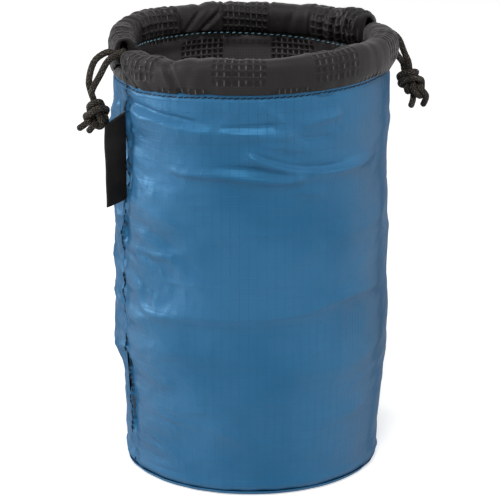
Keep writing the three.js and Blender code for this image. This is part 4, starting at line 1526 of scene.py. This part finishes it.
def gusset(side_name):
    """A saddle of thin cloth over the wall's top edge, from one end of the collar to the other. Its
    section is an arch whose feet are the sleeve's border outside and the lining's edge inside; its
    crest is lower towards both ends, where the collar comes down over it."""
    end = ENDS[side_name]
    middle_turn = 0 if end < 0 else 180
    across = np.linspace(-1, 1, GUSSET_ROWS)[:, None]
    turn = middle_turn + across * GUSSET_TURNS
    border = border_height((turn + 180) % 360 - 180)
    angle = np.linspace(0, math.pi, GUSSET_PLACES)
    middle, reach = np.mean(GUSSET_REACH), (GUSSET_REACH[1] - GUSSET_REACH[0]) / 2
    foot = border + (INNER_BOTTOM - 0.2 - border) * smooth((1 - np.cos(angle)) / 2)
    beyond = smooth((np.abs(across) - GUSSET_LEVEL) / (1 - GUSSET_LEVEL))
    top = GUSSET_TOP - (GUSSET_TOP - INNER_BOTTOM) * beyond
    crease = GUSSET_CREASE * cloudy(across * 6 + 9 + 2 * end, 3 + 2 * np.sin(angle) + np.cos(angle), 71)
    rings = []
    for inset in (0, GUSSET_CLOTH):
        radius = middle + (reach - inset) * np.cos(angle) + crease * np.cos(angle)
        rise = np.maximum(top - foot, GUSSET_LEAST) - inset
        height = foot + (rise + crease) * np.sin(angle) ** GUSSET_POWER
        rings.append(turned(radius, turn, height))
    rings = np.concatenate([rings[0], rings[1][:, ::-1]], axis=1)
    along = (across[:, 0] + 1) * math.radians(GUSSET_TURNS) * TUNNEL_RADIUS
    piece = add_tube(f"{side_name}_gusset", rings, along, ring_lengths(rings[0]))
    dress(piece, lining_cloth)
    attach(piece, "pouch")


for side_name in ENDS:
    gusset(side_name)

# %% [markdown]
# ## Stitches
# A row of stitches is one short rounded bar, repeated. All bars of a row are made at once: the bar's
# few points are laid along each stitch's own direction, side and height by broadcasting.
# %% Rows of stitches
BAR_SIDES = 6
# The bar's rings, as their place along it and how wide they are.
bar_rings = [(-0.5, 0.45), (-0.36, 1.0), (0.36, 1.0), (0.5, 0.45)]


def stitch_bar():
    """Points and faces of a bar of length 1 and radius 1: rings of six points, closed at its ends."""
    along, wide = np.array(bar_rings).T[..., None]
    angle = np.arange(BAR_SIDES) / BAR_SIDES * 2 * math.pi
    points = np.stack(np.broadcast_arrays(along, wide * np.cos(angle), wide * np.sin(angle)), axis=2)
    quads, _, _ = grid_quads(len(bar_rings), BAR_SIDES)
    here = np.arange(BAR_SIDES)
    ends = np.stack([here[::-1], here + (len(bar_rings) - 1) * BAR_SIDES])
    return points.reshape(-1, 3), quads[:, ::-1], ends[:, ::-1]


def stitch_row(name, places, outwards, finish, slot, length, radius, lean):
    """One mesh of stitches at places in mm. Each lies along its row, turned a little by the lean."""
    tangent = directions(np.gradient(places, axis=0))
    tangent = directions(tangent + lean * np.cross(outwards, tangent))
    side = np.cross(outwards, tangent)
    bar, quads, ends = stitch_bar()
    points = (
        places[:, None] + bar[:, 0, None] * length * tangent[:, None]
        + bar[:, 1, None] * radius * side[:, None] + bar[:, 2, None] * radius * outwards[:, None]
    )
    shift = np.arange(len(places))[:, None, None] * len(bar)
    faces = [(quads + shift).reshape(-1, 4), (ends + shift).reshape(-1, BAR_SIDES)]
    piece = add_mesh(name, points, faces)
    dress(piece, finish)
    print(name, "has", len(places), "stitches")
    return piece


def thread(name, colour):
    """A thread's finish, with a fine twist and slight change of shade."""
    finish = Finish(name, 0.6, Sheen_Weight=0.05, Sheen_Roughness=0.4, Specular_IOR_Level=0.25)
    shade = finish.ramp(finish.noise(finish.place(), 0.0012, 2.0), 0.3, 0.7)
    darker = from_screen(*[round(c * 0.72) for c in colour])
    finish.colour(finish.mix(shade, darker, from_screen(*colour)))
    finish.bump(finish.noise(finish.place(), 0.0002, 2.0), 0.0001)
    return finish


navy_thread = thread("navy thread", (16, 27, 42))
pale_thread = thread("pale blue thread", (128, 186, 208))
# Each row of stitches: their pitch and how high they lie above the cloth in mm, and their form.
top_row = dict(pitch=2.6, lift=0.14, form=dict(length=2.3, radius=0.24, lean=0.22))
side_row = dict(pitch=2.3, lift=0.12, form=dict(length=1.9, radius=0.26, lean=0.15))
inner_row = dict(pitch=2.7, lift=0.1, form=dict(length=1.4, radius=0.2, lean=0.2))
# How far the side row starts above the sleeve's bottom and ends below the seam in mm, the turns at
# which the inner rows start and end, and the front one's height above the collar's bottom.
SIDE_ENDS = (2, 2.6)
INNER_ENDS = (9, 171)
FRONT_INNER_RISE = 1.6

for half_name, half in HALVES.items():
    count = round(math.pi * SLEEVE_RADIUS / top_row["pitch"])
    turn = (np.arange(count) + 0.5) / count * 180 * -half
    height = border_height(turn) - STITCH_DROP
    radius = sleeve_radius(height) + sleeve_relief(turn, height) + top_row["lift"]
    row = stitch_row(
        f"{half_name}_top_stitches", turned(radius, turn, height), turned(1, turn, 0),
        navy_thread, "ripstop", **top_row["form"],
    )
    lean_with_mouth(row)

height = np.arange(SLEEVE_BOTTOM + SIDE_ENDS[0], SEAM_HEIGHT - SIDE_ENDS[1], side_row["pitch"])
turn = seam_turn(height)
radius = sleeve_radius(height) + sleeve_relief(turn, height) + side_row["lift"]
side_seam = stitch_row(
    "side_seam_stitches", turned(radius, turn, height), turned(1, turn, 0),
    navy_thread, "ripstop", **side_row["form"],
)
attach(side_seam, "pouch")

inner_radius = TUNNEL_RADIUS - COLLAR_HALF_WIDTH
for half_name, half in HALVES.items():
    spread = np.arange(*INNER_ENDS, math.degrees(inner_row["pitch"] / inner_radius))
    front_height = np.full(len(spread), COLLAR_BOTTOM + FRONT_INNER_RISE)
    height = read_off(inner_seam, spread) if half > 0 else front_height
    turn = spread * -half
    row = stitch_row(
        f"{half_name}_inner_stitches", turned(inner_radius + inner_row["lift"], turn, height),
        -turned(1, turn, 0), pale_thread, "lining", **inner_row["form"],
    )
    slide_with_mouth(row)

# %% [markdown]
# ## The tab
# A strip of black satin is folded double and caught in the side seam. It is a thin closed loop whose
# two layers part a little towards the fold, and it curls and droops as cut ribbon does.
# %% Satin tab
satin = Finish("black satin", 0.38, Sheen_Weight=0.03, Sheen_Roughness=0.3, Specular_IOR_Level=0.15)
satin.shader.inputs["Anisotropic"].default_value = 0.5
tab_u, _ = satin.uv()
painted_sheen = satin.ramp(satin.noise(satin.place(), 0.006, 2.0), 0.3, 0.7)
# Painted sheen: lighter brown patches on the black satin, where it would catch the light.
satin.colour(satin.over(from_screen(14, 12, 13), painted_sheen, 0.5, (34, 29, 26)))
satin.bump(satin.lines(tab_u, 0.0004, 0.00012), 0.00003)

TAB_LAYER = 0.45
TAB_GAP = 0.5
TAB_ROWS = 90
TAB_COLUMNS = 24
TAB_WIDTH = 8.9
TAB_SHORTER = 3.6
# How far the fold hangs lower than the seam at the tab's bottom and top, and where the tab starts.
TAB_DROOPS = (2.9, 4.7)
TAB_LIFT = 5.0
TAB_TURN = 5.07
TAB_OUT = 0.3
# The tab's curls, as height in mm, waves up the tab in radians, and start.
tab_curls = [(0.5, 5.2, 0.6), (0.25, 13, 1)]
tab_low, tab_high = box_mm("side_tab")
tab_height = tab_high[2] - tab_low[2] - TAB_SHORTER


def tab_section():
    """The loop's middle line from the seam out to the fold and back, as distance out and to the
    side: two straight layers joined by a half circle."""
    half_gap = (TAB_GAP + TAB_LAYER) / 2
    out = np.linspace(0, TAB_WIDTH - half_gap - TAB_LAYER / 2, TAB_COLUMNS)
    angle = np.linspace(-math.pi / 2, math.pi / 2, 9)[1:-1]
    away = np.concatenate([out, out[-1] + half_gap * np.cos(angle), out[::-1]])
    layer = np.full(TAB_COLUMNS, half_gap)
    return np.stack([away, np.concatenate([-layer, half_gap * np.sin(angle), layer])], axis=1)


def tab_surface():
    """Rings up the tab, each round the strip's thickness; the strip curls with two slow waves, droops
    towards its fold, and is turned about the pouch's axis to the side seam."""
    line = tab_section()
    direction = directions(np.gradient(line, axis=0))
    normal = np.stack([-direction[:, 1], direction[:, 0]], axis=1)
    edge = np.concatenate([line + normal * TAB_LAYER / 2, (line - normal * TAB_LAYER / 2)[::-1]])
    share = np.linspace(0, 1, TAB_ROWS)[:, None]
    away = edge[:, 0] / TAB_WIDTH
    curl = sum(rise * away**2 * np.sin(share * waves + start) for rise, waves, start in tab_curls)
    away = np.clip(away, 0, 1)
    droop = TAB_DROOPS[0] * away**0.7 * (1 - share) + TAB_DROOPS[1] * away**1.1 * share
    outwards, beside = turned(1, TAB_TURN, 0), turned(1, TAB_TURN + 90, 0)
    out = SLEEVE_RADIUS + TAB_OUT + edge[:, 0]
    place = out[None, :, None] * outwards + (edge[:, 1] + curl)[..., None] * beside
    place[..., 2] = tab_low[2] + TAB_LIFT + tab_height * share - droop
    return place


tab_rings = tab_surface()
tab = add_tube(
    "side_label", tab_rings[::-1], np.linspace(0, tab_height, TAB_ROWS), ring_lengths(tab_rings[0]),
)
tab_points = tab_rings.reshape(-1, 3)
print("tab box in mm:", np.round(tab_points.min(axis=0), 1), np.round(tab_points.max(axis=0), 1))
print("the CAD tab's:", np.round(tab_low, 1), np.round(tab_high, 1))
dress(tab, satin)
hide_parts("side_tab")
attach(tab, "tab")

# %% [markdown]
# ## Floor and light
# The pouch stands on a white floor with a soft shadow. The floor is plain pale paint, and it adds its
# own light only for rays from the camera or off a shiny piece, so that the background reads white.
# %% Floor, world and lamps
FLOOR_HALF = 2000
FLOOR_DROP = 0.1
FLOOR_GLOW = 0.62
AMBIENT = 0.16


def seen_rays(tree):
    """1 for rays from the camera, off a mirror or through glass, and 0 for all others."""
    path = tree.nodes.new("ShaderNodeLightPath")
    seen = path.outputs["Is Camera Ray"]
    for kind in ("Is Glossy Ray", "Is Transmission Ray"):
        either = tree.nodes.new("ShaderNodeMath")
        either.operation = "MAXIMUM"
        tree.links.new(seen, either.inputs[0])
        tree.links.new(path.outputs[kind], either.inputs[1])
        seen = either.outputs[0]
    return seen


floor_corners = [
    [x * FLOOR_HALF, y * FLOOR_HALF, -FLOOR_DROP] for x, y in ((-1, -1), (1, -1), (1, 1), (-1, 1))
]
floor = add_mesh("floor", floor_corners, [np.array([[0, 1, 2, 3]])])
paint = Finish("floor paint", 0.9)
paint.colour((0.8, 0.8, 0.8, 1.0))
paint.shader.inputs["Emission Color"].default_value = (1, 1, 1, 1)
glow = paint.math("MULTIPLY", seen_rays(paint.tree), FLOOR_GLOW)
paint.join(glow, paint.shader.inputs["Emission Strength"])
floor.data.materials.append(paint.material)

world = bpy.data.worlds.new("studio")
bpy.context.scene.world = world
world.use_nodes = True
nodes, links = world.node_tree.nodes, world.node_tree.links
ambient = nodes["Background"]
ambient.inputs["Color"].default_value = (1, 1, 1, 1)
strength = nodes.new("ShaderNodeMapRange")
strength.inputs["To Min"].default_value = AMBIENT
strength.inputs["To Max"].default_value = 1.0
links.new(seen_rays(world.node_tree), strength.inputs["Value"])
links.new(strength.outputs["Result"], ambient.inputs["Strength"])

# Square area lamps, as place and size in metres, and power in watts.
lamps = {
    "key": ((-0.4, -0.85, 1.55), 0.3, 12.5),
    "side": ((-1.1, -0.35, 1.45), 0.3, 3.5),
    "rim": ((-1.35, 0.75, 0.5), 0.4, 13),
    "fill": ((1.1, -0.7, 0.7), 0.9, 4),
}
LAMP_AIM = Vector((0, 0, 0.1))

for name, (place, size, power) in lamps.items():
    light = bpy.data.lights.new(name, "AREA")
    light.size = size
    light.energy = power
    lamp = bpy.data.objects.new(name, light)
    lamp.location = place
    lamp.rotation_euler = (LAMP_AIM - Vector(place)).to_track_quat("-Z", "Y").to_euler()
    bpy.context.scene.collection.objects.link(lamp)
print("lamps:", ", ".join(lamps))

# %% [markdown]
# ## The last step
# The Standard view shows colours as they were chosen.
# %% Finish
bpy.context.scene.view_settings.view_transform = "Standard"
